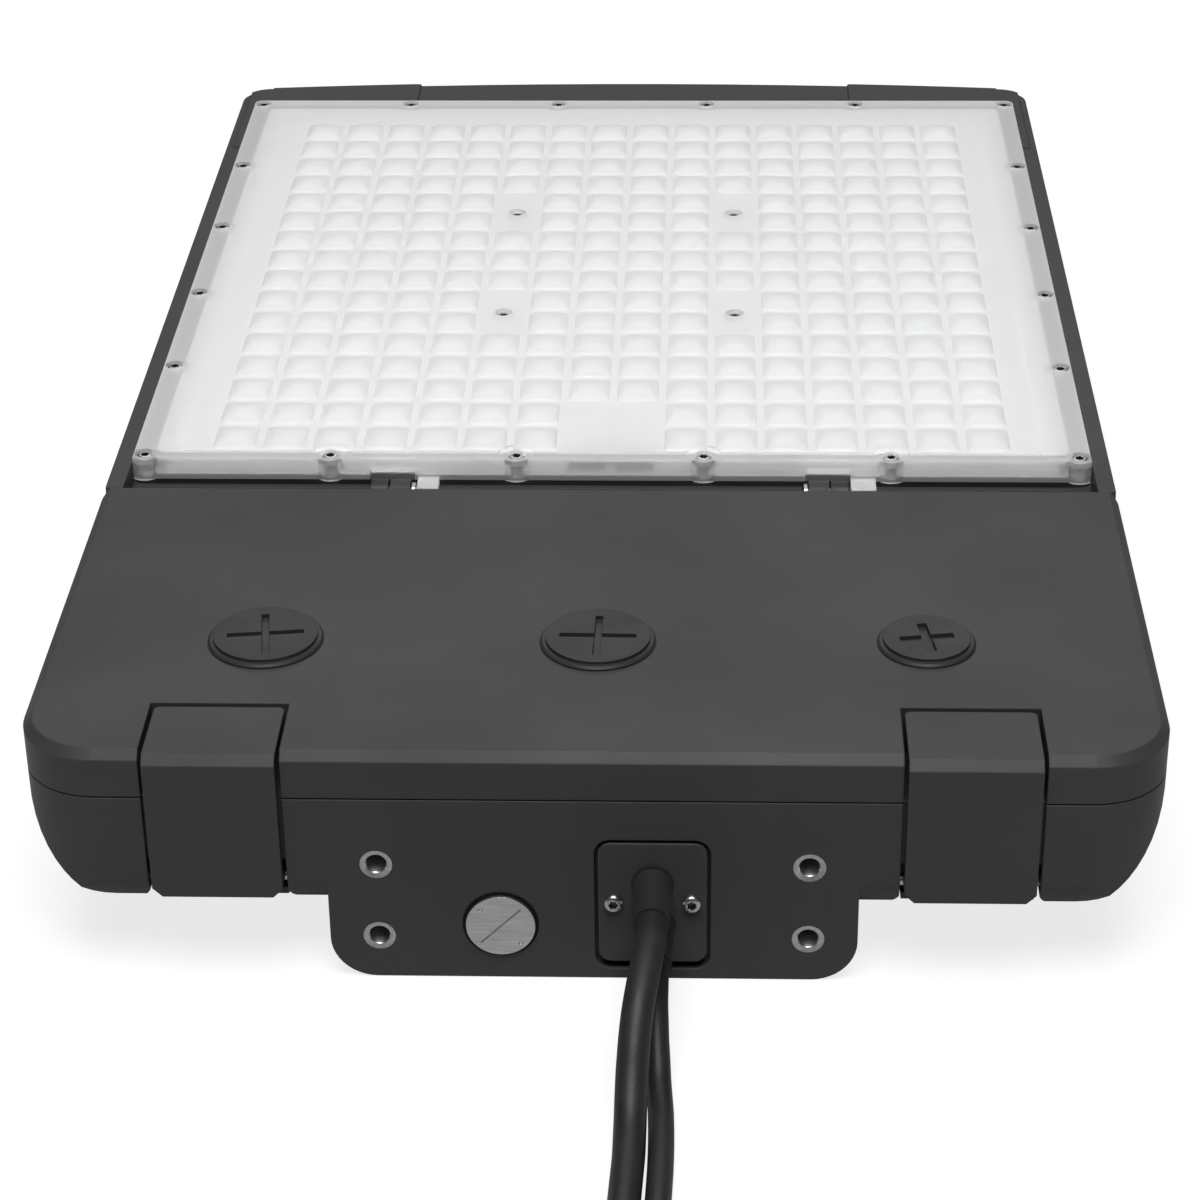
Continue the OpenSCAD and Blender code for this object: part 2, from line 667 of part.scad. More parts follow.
module housing() {
  hinge_room_x = arm_x - hinge_room;
  color(paint) place() difference() {
    union() {
      shell();
      fins();
      pad();
      both_sides() intersection() { // liner behind a latch
        hull_form(0);
        translate([notch_x - wall_t, 0, 0])
          cube([notch_w + 2 * wall_t, liner_y, parting_z - flange_t + cut]);
      }
      for (x = [-1, 1]) translate([x * bolt_dx / 2, 0, bolt_low_z + bolt_dz])
        translate([0, wall_t / 2, 0]) rod_y(bolt_r + wall_t, bolt_depth + wall_t / 2);
      translate([-duct_w / 2, trough_y - cut, duct_z])
        cube([duct_w, duct_y1 - trough_y + cut, trough_z - wall_t / 2 - duct_z]);
      translate([-duct_w / 2, deck_y + wall_t / 2, duct_z])
        cube([duct_w, duct_y1 - deck_y - wall_t / 2, deck_z - deck_t / 2 - duct_z]);
    }
    bolt_holes();
    both_sides() latch_room_cut();
    // room for the hinge knuckles in the deck's edge
    both_sides() translate([hinge_room_x, deck_y - cut, trough_z])
      cube([bearing_x + bearing_w + seat_gap - hinge_room_x, lens_y + seat_gap - deck_y + cut, door_z]);
    // wiring chamber in the pad, open to the compartment above
    translate([-chamber_w / 2, chamber_y0, chamber_z]) cube([chamber_w, chamber_y1 - chamber_y0, 30]);
    // pocket and passages for the cords
    translate([plate_x, 0, pocket_z + pocket_h / 2]) along_y(-cut, pocket_d)
      rounded(pocket_w, pocket_h, pocket_r);
    translate([power_x, 0, power_z]) rod_y(power_boot_r + seat_gap, chamber_y0 + cut);
    translate([dim_x, 0, dim_z]) rod_y(dim_boot_r + seat_gap, chamber_y0 + cut);
    for (x = [-1, 1]) translate([plate_x + x * plate_screw_dx / 2, 0, plate_screw_z])
      rod_y(1.5 + fix_play, chamber_y0 - 0.5);
    // port for the hole plug
    translate([plug_x, -cut, plug_z]) rod_y(plug_r + plug_seal_w + fix_play, cut + 1);
    translate([plug_x, 0, plug_z]) rod_y(plug_r - 1, chamber_y0 + cut);
    // duct for the leads
    translate([-duct_w / 2 + duct_wall, room_y1 - cut, duct_z + duct_wall])
      cube([duct_w - 2 * duct_wall, duct_y1 - duct_wall - room_y1 + cut, duct_h]);
    translate([-duct_w / 2 + duct_wall, riser_y, duct_z + duct_wall])
      cube([duct_w - 2 * duct_wall, duct_y1 - duct_wall - riser_y, deck_z - deck_t - duct_z - duct_wall]);
    translate([0, lead_hole_y, deck_z - deck_t - cut]) cylinder(r = lead_hole_r, h = deck_t + 2 * cut);
    // screw holes
    for (p = lens_screw_places) translate([p[0], p[1], lens_head_z - lens_screw_len])
      cylinder(r = lens_screw_r + fix_play, h = lens_screw_len);
    for (p = middle_screw_places) translate([p[0], p[1], lens_head_z - lens_screw_len])
      cylinder(r = lens_screw_r + fix_play, h = lens_screw_len);
    for (p = compartment_screw_places) translate([p[0], p[1], floor_z + 1])
      cylinder(r = screw_r + fix_play, h = wall_t);
    translate([ground_x, ground_y, floor_z + 1]) cylinder(r = screw_r + fix_play, h = wall_t);
  }
}

// Light board

module board_outline(inset) {
  difference() {
    translate([0, board_y + board_l / 2]) square([board_w - 2 * inset, board_l - 2 * inset], center = true);
    translate([0, lead_hole_y]) circle(lead_hole_r + 1);
    for (p = middle_screw_places) translate([p[0], p[1]]) circle(lens_screw_r + 0.5);
  }
}

module thermal_pad() {
  color(steel) place() translate([0, 0, deck_z]) linear_extrude(thermal_t) board_outline(0.5);
}

module light_board() {
  color(white) place() translate([0, 0, board_z]) linear_extrude(board_t) board_outline(0);
}

module light_chips() {
  color([0.95, 0.85, 0.45]) place() for (p = optic_places)
    translate([p[0] - chip_w / 2, p[1] - chip_w / 2, chip_z]) cube([chip_w, chip_w, chip_h]);
}

module board_connectors() {
  color(dark_paint) place() for (x = [-8.3, 8.3]) translate([x - 6.5, board_y + 0.4, chip_z]) difference() {
    cube([13, 4.2, 3.8]);
    for (i = [0:1]) translate([2 + i * 5.2, 1.2, 1]) cube([3.8, 4, 1.8]);
  }
}

// Lens

module lens_gasket() {
  color(dark_paint) place() translate([0, lens_mid_y, deck_z]) linear_extrude(lens_gasket_t) difference() {
    rounded(lens_w, lens_l, small_fillet);
    rounded(lens_w - 2 * lens_wall_w + 1.4, lens_l - 2 * lens_wall_w + 1.4, small_fillet);
    for (p = lens_screw_places) translate([p[0], p[1] - lens_mid_y]) circle(lens_screw_r + 0.2);
  }
}

module optic() {
  ball_r = (optic_r * optic_r + optic_h * optic_h) / (2 * optic_h);
  root = 0.4;
  translate([0, 0, optic_h - ball_r]) intersection() {
    sphere(ball_r);
    translate([0, 0, ball_r - optic_h / 2 - root / 2])
      cube([4 * optic_r, 4 * optic_r, optic_h + root], center = true);
  }
}

module lens_tab(x, w) {
  translate([x, lens_y - 9, lens_z - 1]) cube([w, 8.6, 2.5]);
  translate([x, lens_y - 1, lens_z]) cube([w, 4, 1.5]);
}

module lens_cover() {
  room_l = lens_l - 2 * lens_wall_w;
  hinge_cut_x = arm_x - 1;
  hinge_cut_w = bearing_x + bearing_w - arm_x + 2;
  color(clear) place() difference() {
    union() {
      difference() {
        union() {
          translate([0, lens_mid_y, lens_z]) linear_extrude(lens_h) rounded(lens_w, lens_l, small_fillet);
          difference() {
            translate([-lens_w / 2 + field_inset, field_y, lens_top_z - eps])
              cube([lens_w - 2 * field_inset, field_l, field_h + eps]);
            for (p = lens_screw_places) translate([p[0], p[1], lens_top_z - cut])
              cylinder(r = lens_boss_r + 0.6, h = field_h + 2 * cut);
          }
        }
        translate([0, lens_mid_y, lens_z - cut])
          linear_extrude(lens_h - panel_t + cut) rounded(lens_w - 2 * lens_wall_w, room_l, small_fillet);
      }
      for (p = lens_screw_places) intersection() {
        translate([p[0], p[1], lens_z]) cylinder(r = lens_boss_r, h = lens_h);
        translate([0, lens_mid_y, lens_z]) linear_extrude(lens_h) {
          rounded(lens_w, lens_l, small_fillet);
          translate([-lens_w / 2, -lens_l / 2 - lens_boss_r]) square([lens_w, 2 * lens_boss_r]);
        }
      }
      for (p = middle_screw_places) translate([p[0], p[1], chip_z + 0.1])
        cylinder(r = lens_screw_r + 2.5, h = lens_top_z - chip_z - 1);
      for (p = optic_places) translate([p[0], p[1], lens_top_z + field_h]) optic();
      lens_tab(-arm_x + 2.2, 7.3);
      lens_tab(bearing_x + bearing_w + 1, 8.5);
    }
    for (p = concat(lens_screw_places, middle_screw_places)) translate([p[0], p[1], 0]) {
      translate([0, 0, lens_z - cut]) cylinder(r = lens_screw_r + 0.2, h = lens_h + 2 * cut);
      translate([0, 0, lens_head_z]) cylinder(r = lens_head_r + lens_head_gap, h = lens_h);
    }
    both_sides() translate([hinge_cut_x, lens_y - cut, lens_z - cut])
      cube([hinge_cut_w, 4.5 + cut, 3.7 + cut]);
  }
}

module round_screw(r, head_r, head_h, l, socket_r) {
  difference() {
    union() {
      cylinder(r = head_r, h = head_h);
      translate([0, 0, -l]) cylinder(r = r, h = l + head_h / 2);
    }
    translate([0, 0, head_h / 2]) cylinder(r = socket_r, h = head_h, $fn = 6);
  }
}

module lens_screws() {
  color(steel) place() for (p = lens_screw_places) translate([p[0], p[1], lens_head_z])
    round_screw(lens_screw_r, lens_head_r, lens_head_h, lens_screw_len - 0.5, lens_screw_r * 0.9);
}

module lens_middle_screws() {
  color(steel) place() for (p = middle_screw_places) translate([p[0], p[1], lens_head_z])
    round_screw(lens_screw_r, lens_head_r, lens_head_h, lens_screw_len - 0.5, lens_screw_r * 0.9);
}

// Wiring

driver_l = 2 * floor_x - driver_room;
driver_x = floor_x - 14 - driver_l;
driver_y = room_y1 - 15.5 - driver_w;
surge_x = 2 - floor_x;
surge_y = driver_y + 6;
surge_w = 50;
surge_l = 34;
surge_h = 28;
block_x = -24;
block_y = 51;
block_w = 62;
block_l = 18;
block_h = 19;
block_ways = 5;
tab_l = 9;
tab_t = 2;
ground_x = 58;
ground_y = 60;
compartment_screw_places = [[driver_x - tab_l / 2, driver_y + driver_w / 2],
  [driver_x + driver_l + tab_l / 2, driver_y + driver_w / 2],
  [surge_x + surge_w + tab_l / 2, surge_y + surge_l / 2],
  [block_x - tab_l / 2, block_y + block_l / 2], [block_x + block_w + tab_l / 2, block_y + block_l / 2]];

module lead_grommet() {
  lip = 0.8;
  color(black) place() translate([0, lead_hole_y, 0]) difference() {
    union() {
      translate([0, 0, deck_z - deck_t]) cylinder(r = lead_hole_r - fix_play, h = deck_t + lip);
      translate([0, 0, deck_z - deck_t - lip]) cylinder(r = lead_hole_r + lip, h = lip);
    }
    translate([0, 0, deck_z - deck_t - lip - cut]) cylinder(r = 3.4, h = deck_t + 2 * lip + 2 * cut);
  }
}

// Leads, with points chosen by hand and counted from the pad's face.
// Light board leads: x, y, z, then half the spread between the two in x and in z.
board_lead_route = concat([for (p = [[0, 44, 0], [-6, 44, 0], [-12, 47, 0], [-15, 53, 0], [-12, 60, 0],
  [-3, 65, 0], [10, 67.5, 0], [24, 68.5, 0]]) [driver_x + p[0], driver_y + p[1], 48, 0, 1.6]],
  [[-20, driver_y + 69, 48, 0, 1.6], [-9, driver_y + 70.5, 48, 1, 1.6], [-3, room_y1 - 2.5, 48, 1.6, 1.2],
  [0, room_y1 + 4.5, 48, 1.6, 0.8]],
  [for (p = [[-28, 48, 1.6, 0.8], [-14, 49, 1.6, 0.8], [-6, 52, 1.6, 0.5], [-1, 58, 1.6, 0],
  [0, 64, 1.6, 0], [0, 70, 1.7, 0], [-0.6, 72.6, 2.4, 0], [-2.4, 73.9, 3.6, 0], [-5, 74.3, 4.9, 0],
  [-7.2, 74, 5.6, 0], [-8.6, 74, 5.7, 0], [-10, 74, 5.7, 0]]) [0, lead_hole_y + p[0], p[1], p[2], p[3]]]);
// Supply leads: share of the way across to the terminal, then y and z
power_lead_route = [[0, 5.5, 34.5], [0, 9, 34.5], [0.03, 13, 35.8], [0.15, 20, 39.5], [0.4, 28, 42.5],
  [0.7, 36, 43], [0.93, 43, 40.5], [1, 48, 38.6], [1, 53, 38.45]];
dim_lead_route = [[0, 5.5, 19.5], [0, 9, 19.5], [0, 13, 21.6], [0.03, 17, 26], [0.1, 20.5, 31],
  [0.25, 25, 36], [0.5, 31, 39.5], [0.8, 38, 41], [0.96, 44, 39.8], [1, 48.5, 38.5], [1, 53, 38.45]];
function block_way_x(i) = block_x + (i + 0.5) * block_w / block_ways;
function lead_to(route, x0, x1) = [for (p = route) [x0 + (x1 - x0) * p[0], p[1], p[2]]];

module board_leads() {
  color("firebrick") place() for (s = [-1, 1])
    tube([for (p = board_lead_route) [p[0] + s * p[3], p[1], p[2] + s * p[4]]], lead_r, 8, [1, 1, 1]);
}

module supply_leads() {
  color("dimgray") place() {
    for (i = [0:2]) tube(lead_to(power_lead_route, power_x + (i - 1) * 3, block_way_x(i)), 1.2, 8);
    for (i = [3:4]) tube(lead_to(dim_lead_route, dim_x + (i - 3.5) * 3, block_way_x(i)), 1.1, 8);
  }
}

module mounting_tab(x, y) {
  translate([x, y, room_floor_z]) difference() {
    translate([-tab_l / 2 - 0.5, -tab_l / 2, 0]) cube([tab_l + 1, tab_l, tab_t]);
    translate([0, 0, -cut]) cylinder(r = screw_r + 0.2, h = tab_t + 2 * cut);
  }
}

module driver() {
  cap_t = 1.2;
  color(white) place() {
    difference() {
      union() {
        translate([driver_x, driver_y, room_floor_z]) cube([driver_l, driver_w, driver_h]);
        mounting_tab(compartment_screw_places[0][0], compartment_screw_places[0][1]);
        mounting_tab(compartment_screw_places[1][0], compartment_screw_places[1][1]);
      }
      for (x = [driver_x + 14, driver_x + driver_l - 14 - cap_t])
        translate([x, driver_y - cut, room_floor_z + 3]) cube([cap_t, 1.6, driver_h]);
    }
    translate([driver_x + driver_l - 60, driver_y + driver_w - eps, room_floor_z + 8]) cube([30, 2, 14]);
  }
}

module surge_protector() {
  color("white") place() {
    translate([surge_x + surge_w / 2, surge_y + surge_l / 2, room_floor_z])
      linear_extrude(surge_h) rounded(surge_w, surge_l, small_fillet);
    mounting_tab(compartment_screw_places[2][0], compartment_screw_places[2][1]);
  }
}

module terminal_block() {
  way = block_w / block_ways;
  color("ivory") place() difference() {
    union() {
      translate([block_x, block_y, room_floor_z]) cube([block_w, block_l, block_h]);
      mounting_tab(compartment_screw_places[3][0], compartment_screw_places[3][1]);
      mounting_tab(compartment_screw_places[4][0], compartment_screw_places[4][1]);
    }
    for (i = [0:block_ways - 1]) translate([block_x + (i + 0.5) * way, block_y, room_floor_z]) {
      translate([0, -cut, block_h * 0.55]) rod_y(2, 5 + cut);
      translate([0, block_l - 5, block_h * 0.55]) rod_y(2, 5 + cut);
      translate([0, block_l / 2, block_h - 4]) cylinder(r = 2.6, h = 4 + cut);
    }
  }
}

module compartment_screws() {
  color(steel) place() for (p = compartment_screw_places) translate([p[0], p[1], room_floor_z + tab_t])
    round_screw(screw_r, screw_head_r, 2.2, wall_t, screw_r * 0.8);
}

module ground_screw() {
  color(green) place() translate([ground_x, ground_y, room_floor_z]) {
    cylinder(r = 6, h = 1);
    translate([0, 0, 1 - eps]) round_screw(screw_r, screw_head_r, 2.6, wall_t - 1.5, screw_r * 0.8);
  }
}

// Door

module door_form() {
  low = parting_z + door_gap;
  mid = half_w - rear_corner_r;
  side = door_z - door_bevel;
  intersection() {
    union() {
      along_x(2 * mid)
        polygon([[0, low], [0, side], [door_bevel, door_z], [door_l, door_z], [door_l, low]]);
      along_y(rear_corner_r, door_l)
        polygon([[-half_w, low], [-half_w, side], [-half_w + door_bevel, door_z],
          [half_w - door_bevel, door_z], [half_w, side], [half_w, low]]);
      for (x = [-mid, mid]) translate([x, rear_corner_r, 0]) rotate_extrude()
        polygon([[0, low], [rear_corner_r, low], [rear_corner_r, side],
          [rear_corner_r - door_bevel, door_z], [0, door_z]]);
    }
    along_x(body_w) polygon([[0, low], [0, door_z], [door_l - door_front_bevel, door_z],
      [door_l, door_z - door_front_bevel], [door_l, low]]);
    linear_extrude(door_z + cut) union() {
      translate([-half_w, 0]) square([body_w, door_l - door_front_r]);
      translate([-half_w + door_front_r, 0]) square([body_w - 2 * door_front_r, door_l]);
      for (x = [-1, 1]) translate([x * (half_w - door_front_r), door_l - door_front_r])
        circle(door_front_r);
    }
  }
}

module door_room() {
  w = body_w - 2 * door_t;
  r = rear_corner_r - door_t;
  translate([0, 0, parting_z]) linear_extrude(door_z - door_t - parting_z) union() {
    translate([-w / 2, rear_corner_r]) square([w, door_l - door_t - rear_corner_r]);
    translate([-w / 2 + r, door_t]) square([w - 2 * r, rear_corner_r]);
    for (x = [-1, 1]) translate([x * (half_w - rear_corner_r), rear_corner_r]) circle(r);
  }
}

module gasket_ring(inset, w) {
  mid = (gasket_y0 + gasket_y1) / 2;
  full = [2 * gasket_x - 2 * inset, gasket_y1 - gasket_y0 - 2 * inset];
  translate([0, mid]) difference() {
    square(full, center = true);
    square(full - [2 * w, 2 * w], center = true);
  }
}

module door_arm() {
  translate([arm_x, door_l - door_t, hinge_z - knuckle_r])
    cube([arm_w, hinge_y - door_l + door_t, 2 * knuckle_r - arm_step]);
  translate([arm_x, hinge_y, hinge_z]) rod_x(knuckle_r, arm_w);
}

module cap_hole(x, stem_r) {
  under = door_z - door_t;
  translate([x, cap_y, 0]) {
    translate([0, 0, under - cut]) cylinder(r = stem_r + play, h = door_t + 2 * cut);
    translate([0, 0, door_z - ring_depth]) difference() {
      cylinder(r = stem_r + 2.2, h = ring_depth + cut);
      translate([0, 0, -cut]) cylinder(r = stem_r + 0.6, h = ring_depth + 3 * cut);
    }
  }
}

module door() {
  under = door_z - door_t;
  rib_w = 2.5;
  rib_low = parting_z + door_gasket_t + seat_gap;
  color(paint) place() difference() {
    union() {
      difference() {
        door_form();
        door_room();
      }
      both_sides() intersection() { // walls round a latch notch
        translate([notch_x - notch_wall, door_t / 2, parting_z + door_gap])
          cube([notch_w + 2 * notch_wall, notch_y + notch_wall - door_t / 2, under - parting_z]);
        door_form();
      }
      translate([0, 0, rib_low]) linear_extrude(under - rib_low + eps)
        gasket_ring((door_gasket_w - rib_w) / 2, rib_w);
      both_sides() door_arm();
      for (x = selector_post_x) translate([x, cap_y, selector_z + selector_t])
        cylinder(r = 3.5, h = under - selector_z - selector_t + eps);
    }
    both_sides() translate([notch_x, -cut, parting_z - cut])
      cube([notch_w, notch_y + cut, door_z - parting_z + 2 * cut]);
    cap_hole(-cap_left_x, cap_stem_r);
    cap_hole(0, cap_stem_r);
    cap_hole(cap_right_x, small_stem_r);
    both_sides() translate([arm_x - cut, hinge_y, hinge_z]) rod_x(hinge_pin_r + play, arm_w + 2 * cut);
  }
}

module door_gasket() {
  color(black) place() translate([0, 0, parting_z]) linear_extrude(door_gasket_t)
    gasket_ring(0, door_gasket_w);
}

module hinge_bearings() {
  color(black) place() both_sides() difference() {
    union() {
      translate([bearing_x, hinge_y, hinge_z]) rod_x(knuckle_r, bearing_w);
      translate([bearing_x, hinge_y - knuckle_r, trough_z])
        cube([bearing_w, 2 * knuckle_r - 1.5, hinge_z - trough_z]);
    }
    translate([bearing_x - cut, hinge_y, hinge_z]) rod_x(hinge_pin_r + fix_play, bearing_w + 2 * cut);
  }
}

module door_hinge_pins() {
  color(steel) place() both_sides() {
    translate([arm_x - 1.6, hinge_y, hinge_z]) rod_x(hinge_pin_r, bearing_x + bearing_w - arm_x + 1.6);
    translate([arm_x - 1.6, hinge_y, hinge_z]) rod_x(hinge_pin_r + 1.4, 1.2);
  }
}

module cap(x, r, stem_r, cross_l, cross_w, turn) {
  disc_r = r - cap_step;
  base_z = door_z + seat_gap;
  disc_z = base_z + cap_flange_h;
  translate([x, cap_y, 0]) difference() {
    union() {
      translate([0, 0, base_z]) rotate_extrude() polygon([[0, 0], [r, 0], [r, cap_flange_h - cap_bevel],
        [r - cap_bevel, cap_flange_h], [disc_r, cap_flange_h], [disc_r, cap_flange_h + cap_disc_h],
        [0, cap_flange_h + cap_disc_h]]);
      translate([0, 0, base_z - cap_stem_l]) cylinder(r = stem_r, h = cap_stem_l + eps);
    }
    translate([0, 0, disc_z + cap_disc_h - slot_d]) rotate([0, 0, turn]) linear_extrude(slot_d + cut) {
      square([cross_l, cross_w], center = true);
      square([cross_w, cross_l], center = true);
    }
  }
}

module left_cap() {
  color(paint) place() cap(-cap_left_x, cap_r, cap_stem_r, slot_l, slot_w, 7);
}

module middle_cap() {
  color(paint) place() cap(0, cap_r, cap_stem_r, slot_l, slot_w, -1);
}

module right_cap() {
  color(paint) place() cap(cap_right_x, small_cap_r, small_stem_r, small_slot_l, small_slot_w, 8.6);
}

module seal_ring(x, stem_r) {
  translate([x, cap_y, door_z - ring_depth / 2]) rotate_extrude()
    translate([stem_r + 1.4, 0]) circle(ring_r, $fn = 16);
}

module cap_seals() {
  color(black) place() {
    seal_ring(-cap_left_x, cap_stem_r);
    seal_ring(0, cap_stem_r);
    seal_ring(cap_right_x, small_stem_r);
  }
}

// Selectors on the door's underside

selector_post_x = [-cap_left_x + 26, -26];
selector_w = cap_left_x + 40;
selector_l = 26;

module selector_board() {
  color(green) place() difference() {
    union() {
      translate([-selector_w + 14, cap_y - selector_l / 2, selector_z])
        cube([selector_w, selector_l, selector_t]);
      for (x = [-cap_left_x, 0]) translate([x - 8, cap_y - 8, selector_z + selector_t - eps])
        cube([16, 16, selector_body_h + eps]);
    }
    for (x = [-cap_left_x, 0]) translate([x, cap_y, selector_z + selector_t])
      cylinder(r = 3 + play, h = 10);
  }
}

module dial(x) {
  low = selector_z + selector_t + selector_body_h + dial_gap;
  translate([x, cap_y, 0]) difference() {
    union() {
      translate([0, 0, low]) cylinder(r = dial_r, h = dial_h);
      translate([0, 0, selector_z + selector_t + seat_gap])
        cylinder(r = 3, h = selector_body_h + dial_gap + eps);
    }
    translate([-dial_r * 0.7, -0.8, low + dial_h - 1.5]) cube([dial_r * 1.4, 1.6, 3]);
    translate([0, dial_r, low - cut]) cylinder(r = 1.2, h = dial_h + 2 * cut);
  }
}

module power_dial() {
  color(white) place() dial(-cap_left_x);
}

module colour_dial() {
  color(white) place() dial(0);
}

module sensor_socket() {
  under = door_z - door_t;
  socket_h = 12;
  recess = 1.3; // room for the cap's stem
  color(black) place() translate([cap_right_x, cap_y, under]) difference() {
    union() {
      translate([0, 0, -socket_h]) cylinder(r = small_stem_r - 1, h = socket_h);
      translate([0, 0, -2 * recess]) cylinder(r = small_stem_r + 3, h = 2 * recess);
    }
    for (a = [0:120:240]) rotate([0, 0, a]) translate([5, 0, -8]) cylinder(r = 1.6, h = 8);
    translate([0, 0, -recess]) cylinder(r = small_stem_r + 0.5, h = recess + cut);
  }
}

// Latches

module latch() {
  top = door_z - latch_below;
  back = -latch_proud;
  half = latch_w / 2;
  foot_x = half - latch_foot_bevel;
  difference() {
    union() {
      intersection() {
        translate([latch_mid_x, 0, 0]) along_x(latch_w)
          polygon([[latch_reach, top], [latch_bevel + back, top], [back, top - latch_bevel],
            [back, latch_low_z], [latch_pin_y, latch_low_z], [latch_pin_y, latch_pin_z + 2.5],
            [back + latch_t, latch_pin_z + 6], [back + latch_t, top - latch_top_t],
            [latch_reach, top - latch_top_t]]);
        translate([latch_mid_x, 0, 0]) along_y(-20, latch_reach + 2)
          polygon([[foot_x, latch_low_z], [half, latch_low_z + latch_foot_bevel], [half, top + 1],
            [-half, top + 1], [-half, latch_low_z + latch_foot_bevel], [-foot_x, latch_low_z]]);
        translate([latch_mid_x, 0, 0]) union() { // round corners at the end of the upper leg
          translate([-half, -20, 0]) cube([latch_w, latch_reach + 18, top + 1]);
          translate([2 - half, -20, 0]) cube([latch_w - 4, latch_reach + 20, top + 1]);
          for (x = [2 - half, half - 2]) translate([x, latch_reach - 2, 0]) cylinder(r = 2, h = top + 1);
        }
      }
      translate([latch_x + 1, latch_pin_y, latch_pin_z]) rod_x(latch_knuckle_r, latch_w - 2);
    }
    translate([latch_x - cut, latch_pin_y, latch_pin_z]) rod_x(latch_pin_r + play, latch_w + 2 * cut);
  }
}

module left_latch() {
  color(paint) place() mirror([1, 0, 0]) latch();
}

module right_latch() {
  color(paint) place() latch();
}

module latch_pins() {
  color(steel) place() both_sides() translate([notch_x - pin_seat + 0.1, latch_pin_y, latch_pin_z])
    rod_x(latch_pin_r, notch_w + 2 * pin_seat - 0.2);
}

// Cable entry

module hole_plug() {
  slot = 0.5;
  color(steel) place() translate([plug_x, 0, plug_z]) difference() {
    union() {
      translate([0, -plug_proud, 0]) rod_y(plug_r, plug_proud + 0.95);
      rod_y(plug_r - 1 - fix_play, 7);
    }
    rotate([0, -45, 0]) translate([-plug_r * 0.82, -plug_proud - cut, -slot / 2])
      cube([plug_r * 1.64, cut + 0.5, slot]);
    for (a = [0, 180]) rotate([0, 45 + a, 0]) translate([plug_r - 2, -plug_proud - cut, 0])
      rod_y(0.8, cut + 0.4);
  }
}

module hole_plug_seal() {
  color(black) place() translate([plug_x, -0.2, plug_z]) difference() {
    rod_y(plug_r + plug_seal_w, 1.2);
    translate([0, -cut, 0]) rod_y(plug_r + fix_play, 1.2 + 2 * cut);
  }
}

module plate_outline(inset) {
  rounded(plate_w - 2 * inset, plate_h - 2 * inset, pocket_r - plate_gap);
}

module cable_plate() {
  front = plate_y - plate_seal_t - plate_t;
  mid_z = plate_low_z + plate_h / 2;
  color(paint) place() difference() {
    translate([plate_x, 0, mid_z]) along_y(front, front + plate_t) plate_outline(0);
    translate([power_x, front - cut, power_z]) rod_y(power_boot_r + fix_play, plate_t + 2 * cut);
    translate([dim_x, front - cut, dim_z]) rod_y(dim_boot_r + fix_play, plate_t + 2 * cut);
    for (x = [-1, 1]) translate([plate_x + x * plate_screw_dx / 2, front - cut, plate_screw_z])
      rod_y(1.7, plate_t + 2 * cut);
  }
}

module cable_plate_seal() {
  color(black) place() difference() {
    translate([plate_x, 0, plate_low_z + plate_h / 2])
      along_y(plate_y - plate_seal_t, plate_y) plate_outline(0.5);
    translate([power_x, 0, power_z]) rod_y(power_boot_r + fix_play, 9);
    translate([dim_x, 0, dim_z]) rod_y(dim_boot_r + fix_play, 9);
    for (x = [-1, 1]) translate([plate_x + x * plate_screw_dx / 2, 0, plate_screw_z]) rod_y(1.7, 9);
  }
}

module cable_plate_screws() {
  front = plate_y - plate_seal_t - plate_t;
  color(steel) place() for (x = [-1, 1]) translate([plate_x + x * plate_screw_dx / 2, front, plate_screw_z])
    rotate([90, 0, 0]) round_screw(1.5, plate_screw_r, 2, 6.5, 1.5);
}

// A boot: a tapered sleeve that grips the cord where it leaves the plate
module boot(x, z, root_r, tip_r, l) {
  inner = plate_y + 2;
  translate([x, -l, z]) rotate([-90, 0, 0]) cylinder(r1 = tip_r, r2 = root_r - 0.4, h = l - 0.3);
  translate([x, -0.3 - eps, z]) rod_y(root_r, inner + 0.3);
}

module power_cord_boot() {
  color(black) place() boot(power_x, power_z, power_boot_r, power_r + boot_tip_wall, power_boot_l);
}

module dimming_cord_boot() {
  color(black) place() boot(dim_x, dim_z, dim_boot_r, dim_r + boot_tip_wall, dim_boot_l);
}

// Cords

module power_cord() {
  color(black) tube(power_route, power_r, 10);
}

module dimming_cord() {
  color(black) tube(dim_route, dim_r, 10);
}

module power_cord_coil() {
  color(black) tube(power_coil_path, power_r, 6);
}

module dimming_cord_coil() {
  color(black) tube(dim_coil_path, dim_r, 6);
}

// A tie round the three strands that lie side by side a quarter turn round a coil
module tie(start, r, step, turns, d, dir) {
  span = [for (u = [0.25:1:coil_total(turns)]) coil_point(u, start, r, step, turns, d, dir)];
  ys = [for (p = span) p[1]];
  y0 = min(ys) - d / 2 - tie_room;
  y1 = max(ys) + d / 2 + tie_room;
  z1 = max([for (p = span) p[2]]) + d / 2 + 0.1;
  translate([span[0][0] - tie_w / 2, 0, 0]) difference() {
    translate([0, y0 - tie_t, 0]) cube([tie_w, y1 - y0 + 2 * tie_t, z1 + tie_t]);
    translate([-cut, y0, tie_t]) cube([tie_w + 2 * cut, y1 - y0, z1 - tie_t]);
  }
}

module power_cord_tie() {
  color(dark_paint)
    tie(power_route[last(power_route)], power_coil_r, power_coil_step, power_coil_turns, power_d, 1);
}

module dimming_cord_tie() {
  color(dark_paint) tie(dim_route[last(dim_route)], dim_coil_r, dim_coil_step, dim_coil_turns, dim_d, -1);
}

// Bare ends of a cord: wires that leave its last ring
module wires(path, d, n) {
  end = path[last(path)];
  h = unit(end - path[last(path) - 1]);
  side = side_of(h);
  for (i = [0:n - 1]) let (o = (i - (n - 1) / 2) * (2 * wire_r + 0.5) * side)
    tube([end + o, end + o + wire_l / 2 * h, end + o + wire_l * h], wire_r, 8);
}

module power_cord_wires() {
  color(copper) wires(power_coil_path, power_d, 3);
}

